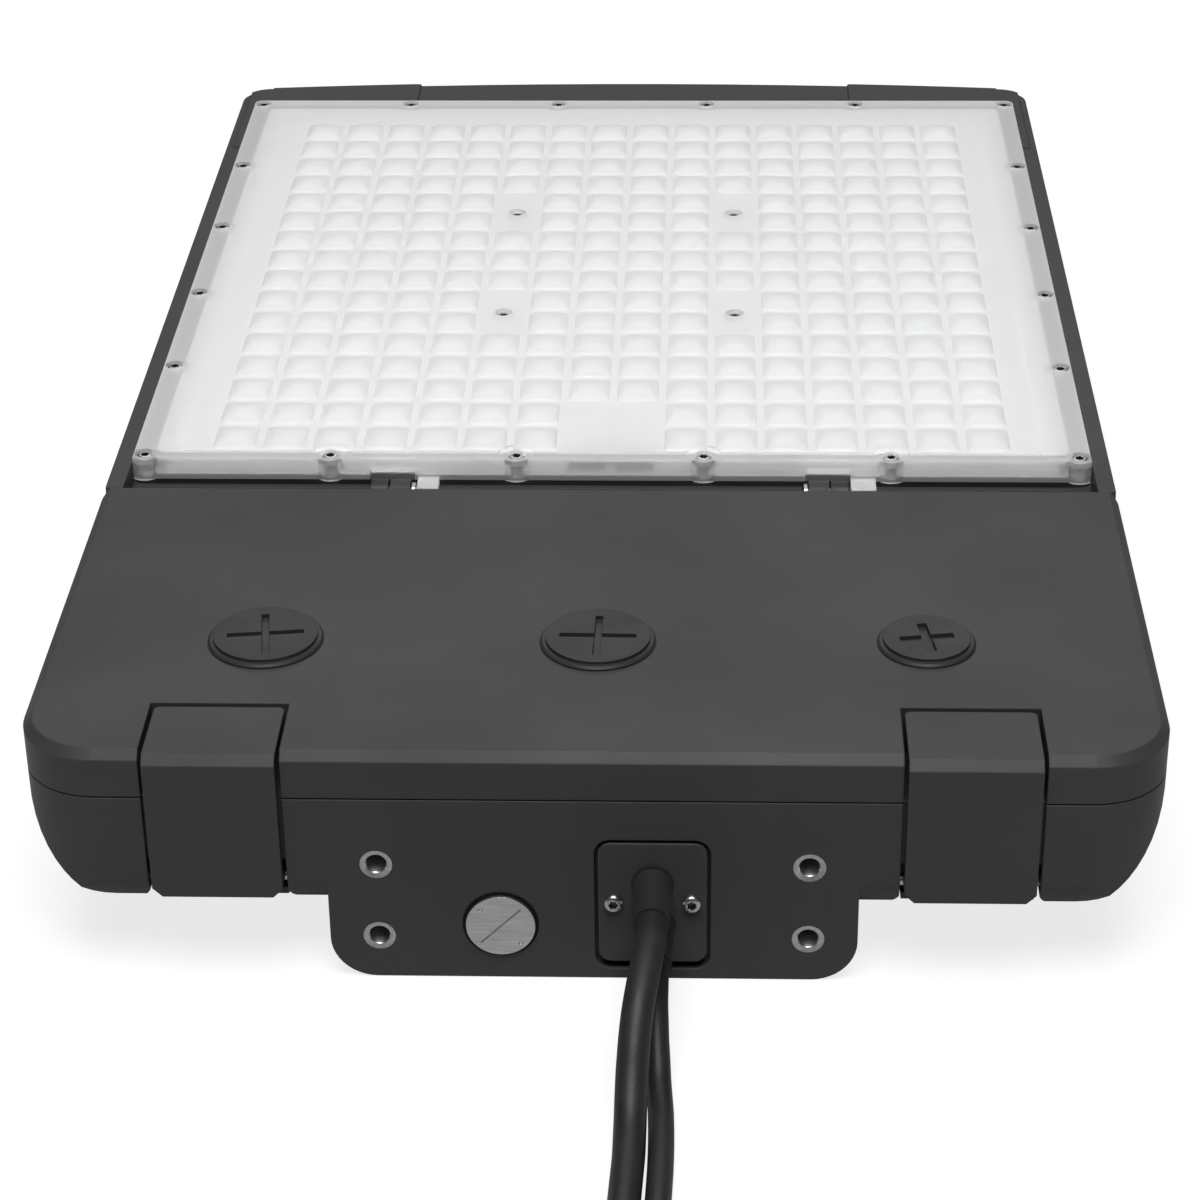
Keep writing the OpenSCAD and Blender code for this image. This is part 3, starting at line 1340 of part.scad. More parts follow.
module dimming_cord_wires() {
  color(copper) wires(dim_coil_path, dim_d, 2);
}

housing();
thermal_pad();
light_board();
light_chips();
board_connectors();
lens_gasket();
lens_cover();
lens_screws();
lens_middle_screws();
lead_grommet();
board_leads();
driver();
surge_protector();
terminal_block();
compartment_screws();
ground_screw();
supply_leads();
door();
door_gasket();
hinge_bearings();
door_hinge_pins();
left_cap();
middle_cap();
right_cap();
cap_seals();
selector_board();
power_dial();
colour_dial();
sensor_socket();
left_latch();
right_latch();
latch_pins();
hole_plug();
hole_plug_seal();
cable_plate();
cable_plate_seal();
cable_plate_screws();
power_cord_boot();
dimming_cord_boot();
power_cord();
power_cord_coil();
power_cord_tie();
power_cord_wires();
dimming_cord();
dimming_cord_coil();
dimming_cord_tie();
dimming_cord_wires();
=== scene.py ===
import math

import bmesh
import bpy
from mathutils import Matrix, Vector


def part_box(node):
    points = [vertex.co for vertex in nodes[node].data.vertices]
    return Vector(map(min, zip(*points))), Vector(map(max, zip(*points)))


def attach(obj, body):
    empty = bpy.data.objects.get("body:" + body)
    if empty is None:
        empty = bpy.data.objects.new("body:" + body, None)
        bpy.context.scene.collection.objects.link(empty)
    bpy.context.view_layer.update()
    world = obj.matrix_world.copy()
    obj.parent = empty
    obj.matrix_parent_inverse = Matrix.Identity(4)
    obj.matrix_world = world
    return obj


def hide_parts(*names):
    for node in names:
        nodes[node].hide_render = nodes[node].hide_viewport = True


# Shoebox area light, lying on its fins with the lens up. Metres, in the frame of the CAD model:
# +Z out of the lens, +Y to the front edge, and the mounting pad faces the camera.
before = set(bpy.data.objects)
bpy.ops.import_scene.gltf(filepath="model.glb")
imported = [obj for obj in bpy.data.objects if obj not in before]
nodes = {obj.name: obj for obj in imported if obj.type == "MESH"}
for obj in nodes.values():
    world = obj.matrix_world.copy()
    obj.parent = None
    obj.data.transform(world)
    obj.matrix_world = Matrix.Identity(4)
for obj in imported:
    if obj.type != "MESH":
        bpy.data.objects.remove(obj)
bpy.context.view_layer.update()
scene = bpy.context.scene
scene.view_settings.view_transform = "Standard"
print("frame loaded:", len(nodes), "nodes")

# Camera

photoView = {
    "place": (0.034, -1.0703, 0.5845),
    "turn": -2.216,  # degrees, to the left of +Y
    "down": 29.7,
    "tilt": -0.773,
    "lens": 95.95,
    "sensor": 36,
}


def addCamera(view):
    turn, down, tilt = (math.radians(view[k]) for k in ("turn", "down", "tilt"))
    ahead = Vector((math.sin(turn) * math.cos(down), math.cos(turn) * math.cos(down), -math.sin(down)))
    level = Vector((math.cos(turn), -math.sin(turn), 0))
    up = level.cross(ahead)
    right = level * math.cos(tilt) + up * math.sin(tilt)
    up = up * math.cos(tilt) - level * math.sin(tilt)
    lens = bpy.data.cameras.new("photoCamera")
    lens.lens = view["lens"]
    lens.sensor_width = view["sensor"]
    camera = bpy.data.objects.new("photoCamera", lens)
    scene.collection.objects.link(camera)
    axes = Matrix((right, up, -ahead)).transposed().to_4x4()
    camera.matrix_world = Matrix.Translation(view["place"]) @ axes
    scene.camera = camera


addCamera(photoView)

# Finishes

finishBase = {
    "metal": 0, "shine": 0.5, "stretch": (1, 1, 1), "depth": 0.0002, "wear": 0.5,  # where a finish names none
    "cloudDetail": 4, "cloudRange": (0.3, 0.7), "grainDetail": 2,
    "bevelSamples": 6, "wornRange": (0.995, 0.85),  # cosine between face and rounded normal
}


def addFinish(own):
    # Soft clouds of colour and gloss, a fine grain in relief, and edges that are a little rounded and
    # lighter, partly as wear and partly as a painted highlight
    s = {**finishBase, **own}
    material = bpy.data.materials.new(s["name"])
    material.use_nodes = True
    tree = material.node_tree
    add, link = tree.nodes.new, tree.links.new
    shader = tree.nodes["Principled BSDF"]
    shader.inputs["Metallic"].default_value = s["metal"]
    shader.inputs["Specular IOR Level"].default_value = s["shine"]
    place = add("ShaderNodeTexCoord")
    stretch = add("ShaderNodeMapping")
    stretch.inputs["Scale"].default_value = s["stretch"]
    link(place.outputs["Object"], stretch.inputs["Vector"])
    cloud = add("ShaderNodeTexNoise")
    cloud.inputs["Scale"].default_value = s["cloud"]
    cloud.inputs["Detail"].default_value = s["cloudDetail"]
    link(stretch.outputs["Vector"], cloud.inputs["Vector"])
    tint = add("ShaderNodeMix")
    tint.data_type = "RGBA"
    tint.inputs[6].default_value = (*s["colour"], 1)
    tint.inputs[7].default_value = (*s["shade"], 1)
    spread = add("ShaderNodeMapRange")
    spread.inputs["From Min"].default_value, spread.inputs["From Max"].default_value = s["cloudRange"]
    link(cloud.outputs["Fac"], spread.inputs["Value"])
    link(spread.outputs["Result"], tint.inputs[0])
    gloss = add("ShaderNodeMapRange")
    gloss.inputs["From Min"].default_value, gloss.inputs["From Max"].default_value = s["cloudRange"]
    gloss.inputs["To Min"].default_value, gloss.inputs["To Max"].default_value = s["rough"]
    link(cloud.outputs["Fac"], gloss.inputs["Value"])
    link(gloss.outputs["Result"], shader.inputs["Roughness"])
    grain = add("ShaderNodeTexNoise")
    grain.inputs["Scale"].default_value = s["grain"]
    grain.inputs["Detail"].default_value = s["grainDetail"]
    link(stretch.outputs["Vector"], grain.inputs["Vector"])
    relief = add("ShaderNodeBump")
    relief.inputs["Strength"].default_value = s["bump"]
    relief.inputs["Distance"].default_value = s["depth"]
    link(grain.outputs["Fac"], relief.inputs["Height"])
    link(relief.outputs["Normal"], shader.inputs["Normal"])
    colour = tint.outputs[2]
    if "edge" in s:
        soft = add("ShaderNodeBevel")
        soft.samples = s["bevelSamples"]
        soft.inputs["Radius"].default_value = s["edge"]
        link(soft.outputs["Normal"], relief.inputs["Normal"])
        face = add("ShaderNodeNewGeometry")
        turn = add("ShaderNodeVectorMath")
        turn.operation = "DOT_PRODUCT"
        link(soft.outputs["Normal"], turn.inputs[0])
        link(face.outputs["Normal"], turn.inputs[1])
        # Lighter colour on the rounded edges: partly worn finish, partly a painted highlight where edges
        # catch the light
        worn = add("ShaderNodeMapRange")
        worn.inputs["From Min"].default_value, worn.inputs["From Max"].default_value = s["wornRange"]
        worn.inputs["To Max"].default_value = s["wear"]
        link(turn.outputs["Value"], worn.inputs["Value"])
        edgeWearAndHighlightMix = add("ShaderNodeMix")
        edgeWearAndHighlightMix.data_type = "RGBA"
        link(worn.outputs["Result"], edgeWearAndHighlightMix.inputs[0])
        link(colour, edgeWearAndHighlightMix.inputs[6])
        edgeWearAndHighlightMix.inputs[7].default_value = (*s["edgeWearAndHighlightColour"], 1)
        colour = edgeWearAndHighlightMix.outputs[2]
    link(colour, shader.inputs["Base Color"])
    return material


# Each finish's edge colour is partly wear and partly a painted highlight on its edges
castPaint = {
    "name": "powderCoatedCasting",
    "colour": (0.06, 0.06, 0.0615), "shade": (0.053, 0.053, 0.0545), "shine": 0.28,
    "cloud": 16, "rough": (0.42, 0.52), "grain": 1300, "bump": 0.14, "depth": 0.0001,
    "edge": 0.0007, "edgeWearAndHighlightColour": (0.10, 0.10, 0.103), "wear": 0.5,
}
capPlastic = {
    "name": "mouldedCapPlastic",
    "colour": (0.043, 0.043, 0.044), "shade": (0.037, 0.037, 0.038), "shine": 0.28,
    "cloud": 60, "rough": (0.4, 0.5), "grain": 2200, "bump": 0.1, "depth": 0.00006,
    "edge": 0.0003, "edgeWearAndHighlightColour": (0.085, 0.085, 0.086), "wear": 0.4,
}
blackPlastic = {
    "name": "blackNylon",
    "colour": (0.02, 0.02, 0.021), "shade": (0.015, 0.015, 0.015),
    "cloud": 80, "rough": (0.42, 0.55), "grain": 2500, "bump": 0.12, "depth": 0.00006,
    "edge": 0.0003, "edgeWearAndHighlightColour": (0.04, 0.04, 0.04), "wear": 0.4,
}
blackRubber = {
    "name": "blackRubber",
    "colour": (0.017, 0.017, 0.018), "shade": (0.024, 0.024, 0.024),
    "cloud": 45, "rough": (0.6, 0.75), "grain": 1800, "bump": 0.25, "depth": 0.00012,
}
# Near-black rubber, darker than the other rubber, as painted shade for the deep gaps round the plug and the
# cable plate
sealRubberPaintedShade = {
    "name": "sealRubberPaintedShade",
    "colour": (0.005, 0.005, 0.005), "shade": (0.008, 0.008, 0.008), "shine": 0.15,
    "cloud": 45, "rough": (0.7, 0.85), "grain": 1800, "bump": 0.25, "depth": 0.00012,
}
whitePlastic = {
    "name": "whiteNylon",
    "colour": (0.8, 0.8, 0.78), "shade": (0.74, 0.74, 0.72),
    "cloud": 50, "rough": (0.35, 0.45), "grain": 1500, "bump": 0.05,
    "edge": 0.0003, "edgeWearAndHighlightColour": (0.86, 0.86, 0.84), "wear": 0.3,
}
brightSteel = {
    "name": "zincPlatedSteel", "metal": 1,
    "colour": (0.60, 0.60, 0.60), "shade": (0.48, 0.48, 0.49),
    "cloud": 500, "rough": (0.22, 0.38), "grain": 4000, "bump": 0.08, "depth": 0.00004,
    "edge": 0.0002, "edgeWearAndHighlightColour": (0.75, 0.75, 0.75), "wear": 0.4,
}
plugSteel = {
    "name": "brushedPlugSteel", "metal": 1, "stretch": (1, 1, 14),
    "colour": (0.66, 0.66, 0.655), "shade": (0.54, 0.54, 0.54),
    "cloud": 120, "rough": (0.34, 0.5), "grain": 2600, "bump": 0.18, "depth": 0.00005,
    "edge": 0.0003, "edgeWearAndHighlightColour": (0.62, 0.62, 0.61), "wear": 0.5,
}
driverTin = {
    "name": "brushedDriverTin", "metal": 1, "stretch": (1, 30, 30),
    "colour": (0.66, 0.66, 0.67), "shade": (0.56, 0.56, 0.57),
    "cloud": 60, "rough": (0.3, 0.42), "grain": 900, "bump": 0.12, "depth": 0.00005,
    "edge": 0.0005, "edgeWearAndHighlightColour": (0.78, 0.78, 0.78), "wear": 0.4,
}
boardMask = {
    "name": "whiteSolderMask",
    "colour": (0.9, 0.9, 0.89), "shade": (0.86, 0.86, 0.855),
    "cloud": 30, "rough": (0.35, 0.45), "grain": 900, "bump": 0.04,
}
greenBoard = {
    "name": "greenSolderMask",
    "colour": (0.03, 0.18, 0.07), "shade": (0.025, 0.15, 0.06),
    "cloud": 200, "rough": (0.3, 0.4), "grain": 1200, "bump": 0.08,
}
chipPhosphor = {
    "name": "lightChipPhosphor",
    "colour": (0.88, 0.86, 0.76), "shade": (0.84, 0.81, 0.68),
    "cloud": 300, "rough": (0.3, 0.4), "grain": 3000, "bump": 0.05,
}
heatPad = {
    "name": "thermalPadSilicone",
    "colour": (0.42, 0.44, 0.47), "shade": (0.36, 0.38, 0.41),
    "cloud": 120, "rough": (0.7, 0.8), "grain": 1400, "bump": 0.2,
}
greenScrew = {
    "name": "greenGroundScrew",
    "colour": (0.03, 0.2, 0.06), "shade": (0.025, 0.16, 0.05),
    "cloud": 300, "rough": (0.3, 0.4), "grain": 2000, "bump": 0.08,
    "edge": 0.0002, "edgeWearAndHighlightColour": (0.3, 0.4, 0.3), "wear": 0.4,
}
redLead = {
    "name": "redLeadInsulation",
    "colour": (0.4, 0.02, 0.015), "shade": (0.33, 0.016, 0.012),
    "cloud": 90, "rough": (0.35, 0.45), "grain": 2500, "bump": 0.06,
}
darkLead = {
    "name": "darkLeadInsulation",
    "colour": (0.06, 0.06, 0.06), "shade": (0.045, 0.045, 0.045),
    "cloud": 90, "rough": (0.35, 0.45), "grain": 2500, "bump": 0.06,
}
finishOf = {
    "housing": castPaint, "door": castPaint, "left_latch": castPaint, "right_latch": castPaint,
    "cable_plate": castPaint, "left_cap": capPlastic, "middle_cap": capPlastic, "right_cap": capPlastic,
    "thermal_pad": heatPad, "light_board": boardMask, "light_chips": chipPhosphor,
    "board_connectors": blackPlastic, "lens_gasket": blackRubber, "lens_screws": brightSteel,
    "lens_middle_screws": brightSteel, "lead_grommet": blackRubber, "board_leads": redLead,
    "supply_leads": darkLead, "driver": driverTin, "surge_protector": whitePlastic,
    "terminal_block": whitePlastic, "compartment_screws": brightSteel, "ground_screw": greenScrew,
    # The hinge bearings are black nylon, made black as painted shade for the dark band at the hinges
    "door_gasket": blackRubber, "hinge_bearings": blackPlastic, "door_hinge_pins": brightSteel,
    "cap_seals": blackRubber, "selector_board": greenBoard, "power_dial": whitePlastic,
    "colour_dial": whitePlastic, "sensor_socket": blackPlastic, "latch_pins": brightSteel,
    "hole_plug": plugSteel, "hole_plug_seal": sealRubberPaintedShade, "cable_plate_seal": sealRubberPaintedShade,
    "cable_plate_screws": brightSteel, "power_cord_boot": blackRubber, "dimming_cord_boot": blackRubber,
}
made = {}


def finish(s):
    if s["name"] not in made:
        made[s["name"]] = addFinish(s)
    return made[s["name"]]


for name, s in finishOf.items():
    for slot in nodes[name].material_slots:
        slot.material = finish(s)
print("finishes:", len(made))

# Pieces

sharpAngle = math.radians(35)


def addPiece(name, bm, materials, body):
    mesh = bpy.data.meshes.new(name)
    bm.to_mesh(mesh)
    bm.free()
    for material in materials:
        mesh.materials.append(material)
    mesh.shade_smooth()
    mesh.set_sharp_from_angle(angle=sharpAngle)
    piece = bpy.data.objects.new(name, mesh)
    scene.collection.objects.link(piece)
    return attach(piece, body)


# Small turned pieces: screws with six-lobed sockets, and the threads of the pad's holes

# Socket walls take a dark steel, darker than the heads, as painted shade in the recesses
socketPaintedShade = {
    "name": "socketWallPaintedShade", "metal": 1,
    "colour": (0.16, 0.16, 0.16), "shade": (0.1, 0.1, 0.1),
    "cloud": 500, "rough": (0.4, 0.55), "grain": 4000, "bump": 0.1, "depth": 0.00004,
}
cutCasting = {
    "name": "machinedCasting", "metal": 1,
    "colour": (0.6, 0.6, 0.6), "shade": (0.45, 0.45, 0.45),
    "cloud": 900, "rough": (0.3, 0.45), "grain": 3500, "bump": 0.15, "depth": 0.00005,
}
ring = {"sides": 48, "lobes": 6}
screwShape = {
    "head": [  # radius and height as shares of the head's, depth of the lobes, material (1: the socket walls' painted shade)
        (0.42, -0.62, 0.12, 1), (0.44, -0.02, 0.12, 1), (0.48, 0, 0.1, 0), (0.66, -0.02, 0, 0),
        (0.84, -0.12, 0, 0), (0.96, -0.36, 0, 0), (1, -0.62, 0, 0), (1, -0.98, 0, 0), (0.94, -1, 0, 0),
    ],
    "shank": (0.5, 0.46),  # shares of the head's radius, at the head and at the tip
    "spin": 17,  # degrees for each vertex so far, so that no two sockets stand alike
    "heights": {"lens_screws": 0.0022, "lens_middle_screws": 0.0022, "cable_plate_screws": 0.002},
}
boltHole = {
    "places": [(x, z) for x in (-0.065, 0.065) for z in (0.015, 0.041)], "face": -0.279,
    "mouth": 0.0049, "core": 0.00335, "root": 0.0031, "sink": 0.0004, "pitch": 0.00125, "turns": 12,
    "lip": 0.000005, "rise": 0.00004, "start": 0.3,  # under the face, over the sink, share of a pitch
}


def islands(name):
    # The box of each separate solid in a CAD node
    bm = bmesh.new()
    bm.from_mesh(nodes[name].data)
    bmesh.ops.remove_doubles(bm, verts=bm.verts, dist=1e-6)
    boxes, seen = [], set()
    for first in bm.verts:
        if first in seen:
            continue
        seen.add(first)
        group = [first]
        for v in group:
            for e in v.link_edges:
                w = e.other_vert(v)
                if w not in seen:
                    seen.add(w)
                    group.append(w)
        boxes.append((Vector(min(v.co[k] for v in group) for k in range(3)),
                      Vector(max(v.co[k] for v in group) for k in range(3))))
    bm.free()
    return boxes


def addTurned(bm, profile, place):
    # Rings from the first to the last point of a profile, joined to their neighbours
    before = None
    for i, (radius, height, lobes, material) in enumerate(profile):
        verts = bmesh.ops.create_circle(bm, segments=ring["sides"], radius=1, cap_ends=i == 0)["verts"]
        for v in verts:
            r = radius * (1 + lobes * math.cos(ring["lobes"] * math.atan2(v.co.y, v.co.x)))
            v.co = place @ Vector((v.co.x * r, v.co.y * r, height))
        edges = [e for e in {e for v in verts for e in v.link_edges} if all(v in verts for v in e.verts)]
        if i == 0:
            for f in verts[0].link_faces:
                f.material_index = material
        else:
            for f in bmesh.ops.bridge_loops(bm, edges=before + edges)["faces"]:
                f.material_index = material
        before = edges


def addScrews(name, node, s, front=False):
    bm = bmesh.new()
    height, shank = s["heights"][node], s["shank"]
    turn = Matrix.Rotation(math.radians(90), 4, "X") if front else Matrix.Identity(4)
    for low, high in islands(node):
        middle = (low + high) / 2
        radius = (high.x - low.x) / 2
        top = Vector((middle.x, low.y, middle.z)) if front else Vector((middle.x, middle.y, high.z))
        depth = (high.y - low.y) if front else (high.z - low.z)
        profile = [(r * radius, h * height, n, m) for r, h, n, m in s["head"]]
        profile += [(radius * shank[0], -height, 0, 0), (radius * shank[1], -depth, 0, 0)]
        spin = Matrix.Rotation(math.radians(s["spin"] * len(bm.verts) % (360 / ring["lobes"])), 4, "Z")
        addTurned(bm, profile, Matrix.Translation(top) @ turn @ spin)
    bmesh.ops.recalc_face_normals(bm, faces=bm.faces)
    piece = addPiece(name, bm, [finish(brightSteel), finish(socketPaintedShade)], "housing")
    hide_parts(node)


def addThreads(s):
    profile = [(s["mouth"], -s["lip"], 0, 0), (s["core"], s["rise"] - s["sink"], 0, 0)]
    for i in range(s["turns"]):
        deep = -s["sink"] - (i + s["start"]) * s["pitch"]
        profile += [(s["root"], deep, 0, 0), (s["core"], deep - s["pitch"] * 0.5, 0, 0)]
    bm = bmesh.new()
    for x, z in s["places"]:
        place = Matrix.Translation((x, s["face"], z)) @ Matrix.Rotation(math.radians(90), 4, "X")
        addTurned(bm, profile[::-1], place)
    bottoms = [f for f in bm.faces if len(f.verts) > 4]
    bmesh.ops.delete(bm, geom=bottoms, context="FACES_ONLY")
    piece = addPiece("boltThreads", bm, [finish(cutCasting)], "housing")


addScrews("lensScrews", "lens_screws", screwShape)
addScrews("lensMiddleScrews", "lens_middle_screws", screwShape)
addScrews("cablePlateScrews", "cable_plate_screws", screwShape, front=True)
addThreads(boltHole)
print("screws and threads done")

# Lens: slightly milky plastic, clearer in its upright walls

clearLens = {
    "name": "milkyPolycarbonate", "colour": (0.9, 0.905, 0.905), "rough": 0.38, "ior": 1.49, "shine": 0.3,
    "backWall": -0.0835, "wallBlend": 0.0015, "clear": 0.6, "milky": 0.3, "shadow": 0.9,
    "flow": 70, "shade": 0.97, "bump": 0.08, "depth": 0.001,
}
pillow = {
    "columns": 16, "rows": 16, "pitch": (0.017453, 0.0193), "first": -0.075, "half": (0.0075, 0.0085),
    "low": 0.0808, "high": 0.083, "sink": 0.00005, "cells": 12, "squareness": 3, "fullness": 0.8,
    "bare": [(7, 0), (8, 0), (7, 1), (8, 1)],
    "screws": [(i, j) for i in (5, 10) for j in (5, 6, 10, 11)],
}


def addLensPlastic(s):
    material = bpy.data.materials.new(s["name"])
    material.use_nodes = True
    tree = material.node_tree
    add, link = tree.nodes.new, tree.links.new
    shader = tree.nodes["Principled BSDF"]
    shader.inputs["Roughness"].default_value = s["rough"]
    shader.inputs["IOR"].default_value = s["ior"]
    shader.inputs["Specular IOR Level"].default_value = s["shine"]
    place = add("ShaderNodeTexCoord")
    flow = add("ShaderNodeTexNoise")
    flow.inputs["Scale"].default_value = s["flow"]
    link(place.outputs["Object"], flow.inputs["Vector"])
    tint = add("ShaderNodeMix")
    tint.data_type = "RGBA"
    tint.inputs[6].default_value = (*s["colour"], 1)
    tint.inputs[7].default_value = (*(s["shade"] * c for c in s["colour"]), 1)
    link(flow.outputs["Fac"], tint.inputs[0])
    link(tint.outputs[2], shader.inputs["Base Color"])
    relief = add("ShaderNodeBump")
    relief.inputs["Strength"].default_value = s["bump"]
    relief.inputs["Distance"].default_value = s["depth"]
    link(flow.outputs["Fac"], relief.inputs["Height"])
    link(relief.outputs["Normal"], shader.inputs["Normal"])
    parts = add("ShaderNodeSeparateXYZ")
    link(place.outputs["Object"], parts.inputs[0])
    wall = add("ShaderNodeMapRange")
    wall.inputs["From Min"].default_value = s["backWall"]
    wall.inputs["From Max"].default_value = s["backWall"] + s["wallBlend"]
    wall.inputs["To Min"].default_value = s["clear"]
    wall.inputs["To Max"].default_value = s["milky"]
    link(parts.outputs["Y"], wall.inputs["Value"])
    link(wall.outputs["Result"], shader.inputs["Transmission Weight"])
    through = add("ShaderNodeBsdfTransparent")
    through.inputs["Color"].default_value = (s["shadow"], s["shadow"], s["shadow"], 1)
    path = add("ShaderNodeLightPath")
    mix = add("ShaderNodeMixShader")
    link(path.outputs["Is Shadow Ray"], mix.inputs[0])
    link(shader.outputs[0], mix.inputs[1])
    link(through.outputs[0], mix.inputs[2])
    link(mix.outputs[0], tree.nodes["Material Output"].inputs["Surface"])
    return material


def addPillows(s, material):
    # Square, softly domed optics over the whole field
    bm = bmesh.new()
    for i in range(s["columns"]):
        for j in range(s["rows"]):
            if (i, j) in s["bare"] or (i, j) in s["screws"]:
                continue
            x = (i - (s["columns"] - 1) / 2) * s["pitch"][0]
            y = s["first"] + j * s["pitch"][1]
            cell = bmesh.ops.create_grid(bm, x_segments=s["cells"], y_segments=s["cells"], size=1)
            for v in cell["verts"]:
                u, w = (math.sin(c * math.pi / 2) for c in (v.co.x, v.co.y))
                rise = max(0, (1 - abs(u) ** s["squareness"]) * (1 - abs(w) ** s["squareness"]))
                v.co = (x + u * s["half"][0], y + w * s["half"][1],
                        s["low"] - s["sink"] + (s["high"] - s["low"]) * rise ** s["fullness"])
    return addPiece("lensOptics", bm, [material], "housing")


lensPlastic = addLensPlastic(clearLens)
for slot in nodes["lens_cover"].material_slots:
    slot.material = lensPlastic
optics = addPillows(pillow, lensPlastic)
print("lens done")

# Cords

powerCord = {
    "name": "powerCordJacket", "node": "power_cord", "diameter": 0.0095, "length": 0.977,
    "route": [
        (0.018, -0.299, 0.0345), (0.018, -0.304, 0.0345), (0.0179, -0.309, 0.0345),
        (0.0172, -0.315, 0.0341), (0.0164, -0.321, 0.0329), (0.0155, -0.327, 0.0307),
        (0.0146, -0.333, 0.0276), (0.0139, -0.339, 0.0232), (0.0136, -0.3425, 0.0201),
        (0.0133, -0.346, 0.0167), (0.0131, -0.3515, 0.0123), (0.013, -0.3575, 0.0089),
        (0.0129, -0.3635, 0.0067), (0.0128, -0.3695, 0.0053), (0.0125, -0.376, 0.0048),
        (0.012, -0.388, 0.0048), (0.0114, -0.403, 0.0048), (0.0111, -0.421, 0.0048),
        (0.011, -0.437, 0.0049), (0.011, -0.453, 0.0054), (0.011, -0.464, 0.00565),
        (0.011, -0.475, 0.00565)],
    "radius": 0.058, "step": 0.0102, "turns": (1.25, 0.5, 0.75), "side": 1,
    "stiffness": "medium",
    "leads": [(0.02, 0.02, 0.02), (0.75, 0.75, 0.73), (0.03, 0.25, 0.07)],
}
dimmingCord = {
    "name": "dimmingCordJacket", "node": "dimming_cord", "diameter": 0.0075, "length": 0.897,
    "route": [
        (0.0195, -0.299, 0.0195), (0.0195, -0.303, 0.0195), (0.0195, -0.307, 0.0195),
        (0.0195, -0.312, 0.01915), (0.0195, -0.317, 0.0181), (0.0197, -0.322, 0.0162),
        (0.0199, -0.327, 0.0134), (0.0201, -0.3295, 0.0117), (0.0203, -0.332, 0.0098),
        (0.0206, -0.337, 0.007), (0.021, -0.342, 0.0052), (0.0214, -0.347, 0.0041),
        (0.0216, -0.352, 0.0038), (0.0218, -0.362, 0.0038), (0.0217, -0.375, 0.0038),
        (0.0212, -0.391, 0.0038), (0.0207, -0.409, 0.0038), (0.0205, -0.427, 0.0039),
        (0.0205, -0.443, 0.0044), (0.0205, -0.453, 0.00465), (0.0205, -0.463, 0.00465)],
    "radius": 0.046, "step": 0.0082, "turns": (1.5, 0.5, 1), "side": -1,
    "stiffness": "medium",
    "leads": [(0.22, 0.06, 0.25), (0.35, 0.35, 0.35)],
}
cordRubber = {
    "name": "cordJacketRubber",
    "colour": (0.02, 0.02, 0.021), "shade": (0.027, 0.027, 0.028), "shine": 0.5,
    "cloud": 70, "rough": (0.42, 0.58), "grain": 900, "bump": 0.3, "depth": 0.0002,
}
coil = {"perTurn": 24, "gap": 0.0006}


def coilPath(s):
    # In along the floor, up a layer in half a turn, and out again
    start, turns, d = Vector(s["route"][-1]), s["turns"], s["diameter"]
    middle, total = turns[0] + turns[1] / 2, sum(turns)
    points = [start]
    for i in range(int(coil["perTurn"] * total) + 1):
        u = i / coil["perTurn"]
        q = s["radius"] - s["step"] * min(u, middle) + s["step"] * max(0, u - middle)
        climb = min(1, max(0, (u - turns[0]) / turns[1]))
        a = math.radians(u * 360)
        points.append(Vector((start.x - s["side"] * s["radius"] + s["side"] * q * math.cos(a),
                              start.y - d - q * math.sin(a), start.z + (d + coil["gap"]) * climb)))
    h = points[-1] - points[-2]
    h.z = 0
    return points + [points[-1] + h.normalized() * d]


def smoothPath(points, steps):
    # A smooth curve that passes through every point
    out = []
    for i in range(len(points) - 1):
        a, b = points[max(0, i - 1)], points[i]
        c, d = points[i + 1], points[min(len(points) - 1, i + 2)]
        for k in range(steps):
            t = k / steps
            out.append(0.5 * (2 * b + (c - a) * t + (2 * a - 5 * b + 4 * c - d) * t * t
                              + (3 * b - a - 3 * c + d) * t ** 3))
    return out + [points[-1]]


def addTubes(name, paths, radius, materials, facets):
    curve = bpy.data.curves.new(name, "CURVE")
    curve.dimensions = "3D"
    curve.bevel_depth = radius
    curve.bevel_resolution = facets
    curve.use_fill_caps = True
    for material in materials:
        curve.materials.append(material)
    for i, path in enumerate(paths):
        spline = curve.splines.new("POLY")
        spline.points.add(len(path) - 1)
        for point, p in zip(spline.points, path):
            point.co = (*p, 1)
        spline.material_index = min(i, len(materials) - 1)
        spline.use_smooth = True
    piece = bpy.data.objects.new(name, curve)
    scene.collection.objects.link(piece)
    return piece


copperTip = {
    "name": "strandedCopper", "metal": 1,
    "colour": (0.7, 0.36, 0.2), "shade": (0.55, 0.27, 0.14),
    "cloud": 2500, "rough": (0.25, 0.4), "grain": 3500, "bump": 0.4, "depth": 0.0001,
}
leadRubber = {"cloud": 150, "rough": (0.35, 0.45), "grain": 2500, "bump": 0.08}
tube = {"steps": 2, "facets": 6}
bareEnd = {
    # Each point of a line: how far past the jacket's end, and how far out to the side
    "steps": 4, "dim": 0.8,
    "lead": {"radius": 0.001, "facets": 4,
             "line": [(-0.002, 0.0022), (0.006, 0.0023), (0.013, 0.0032), (0.021, 0.0038)]},
    "tip": {"radius": 0.0007, "facets": 3,
            "line": [(0.02, 0.0038), (0.025, 0.0039), (0.0295, 0.0039)]},
}


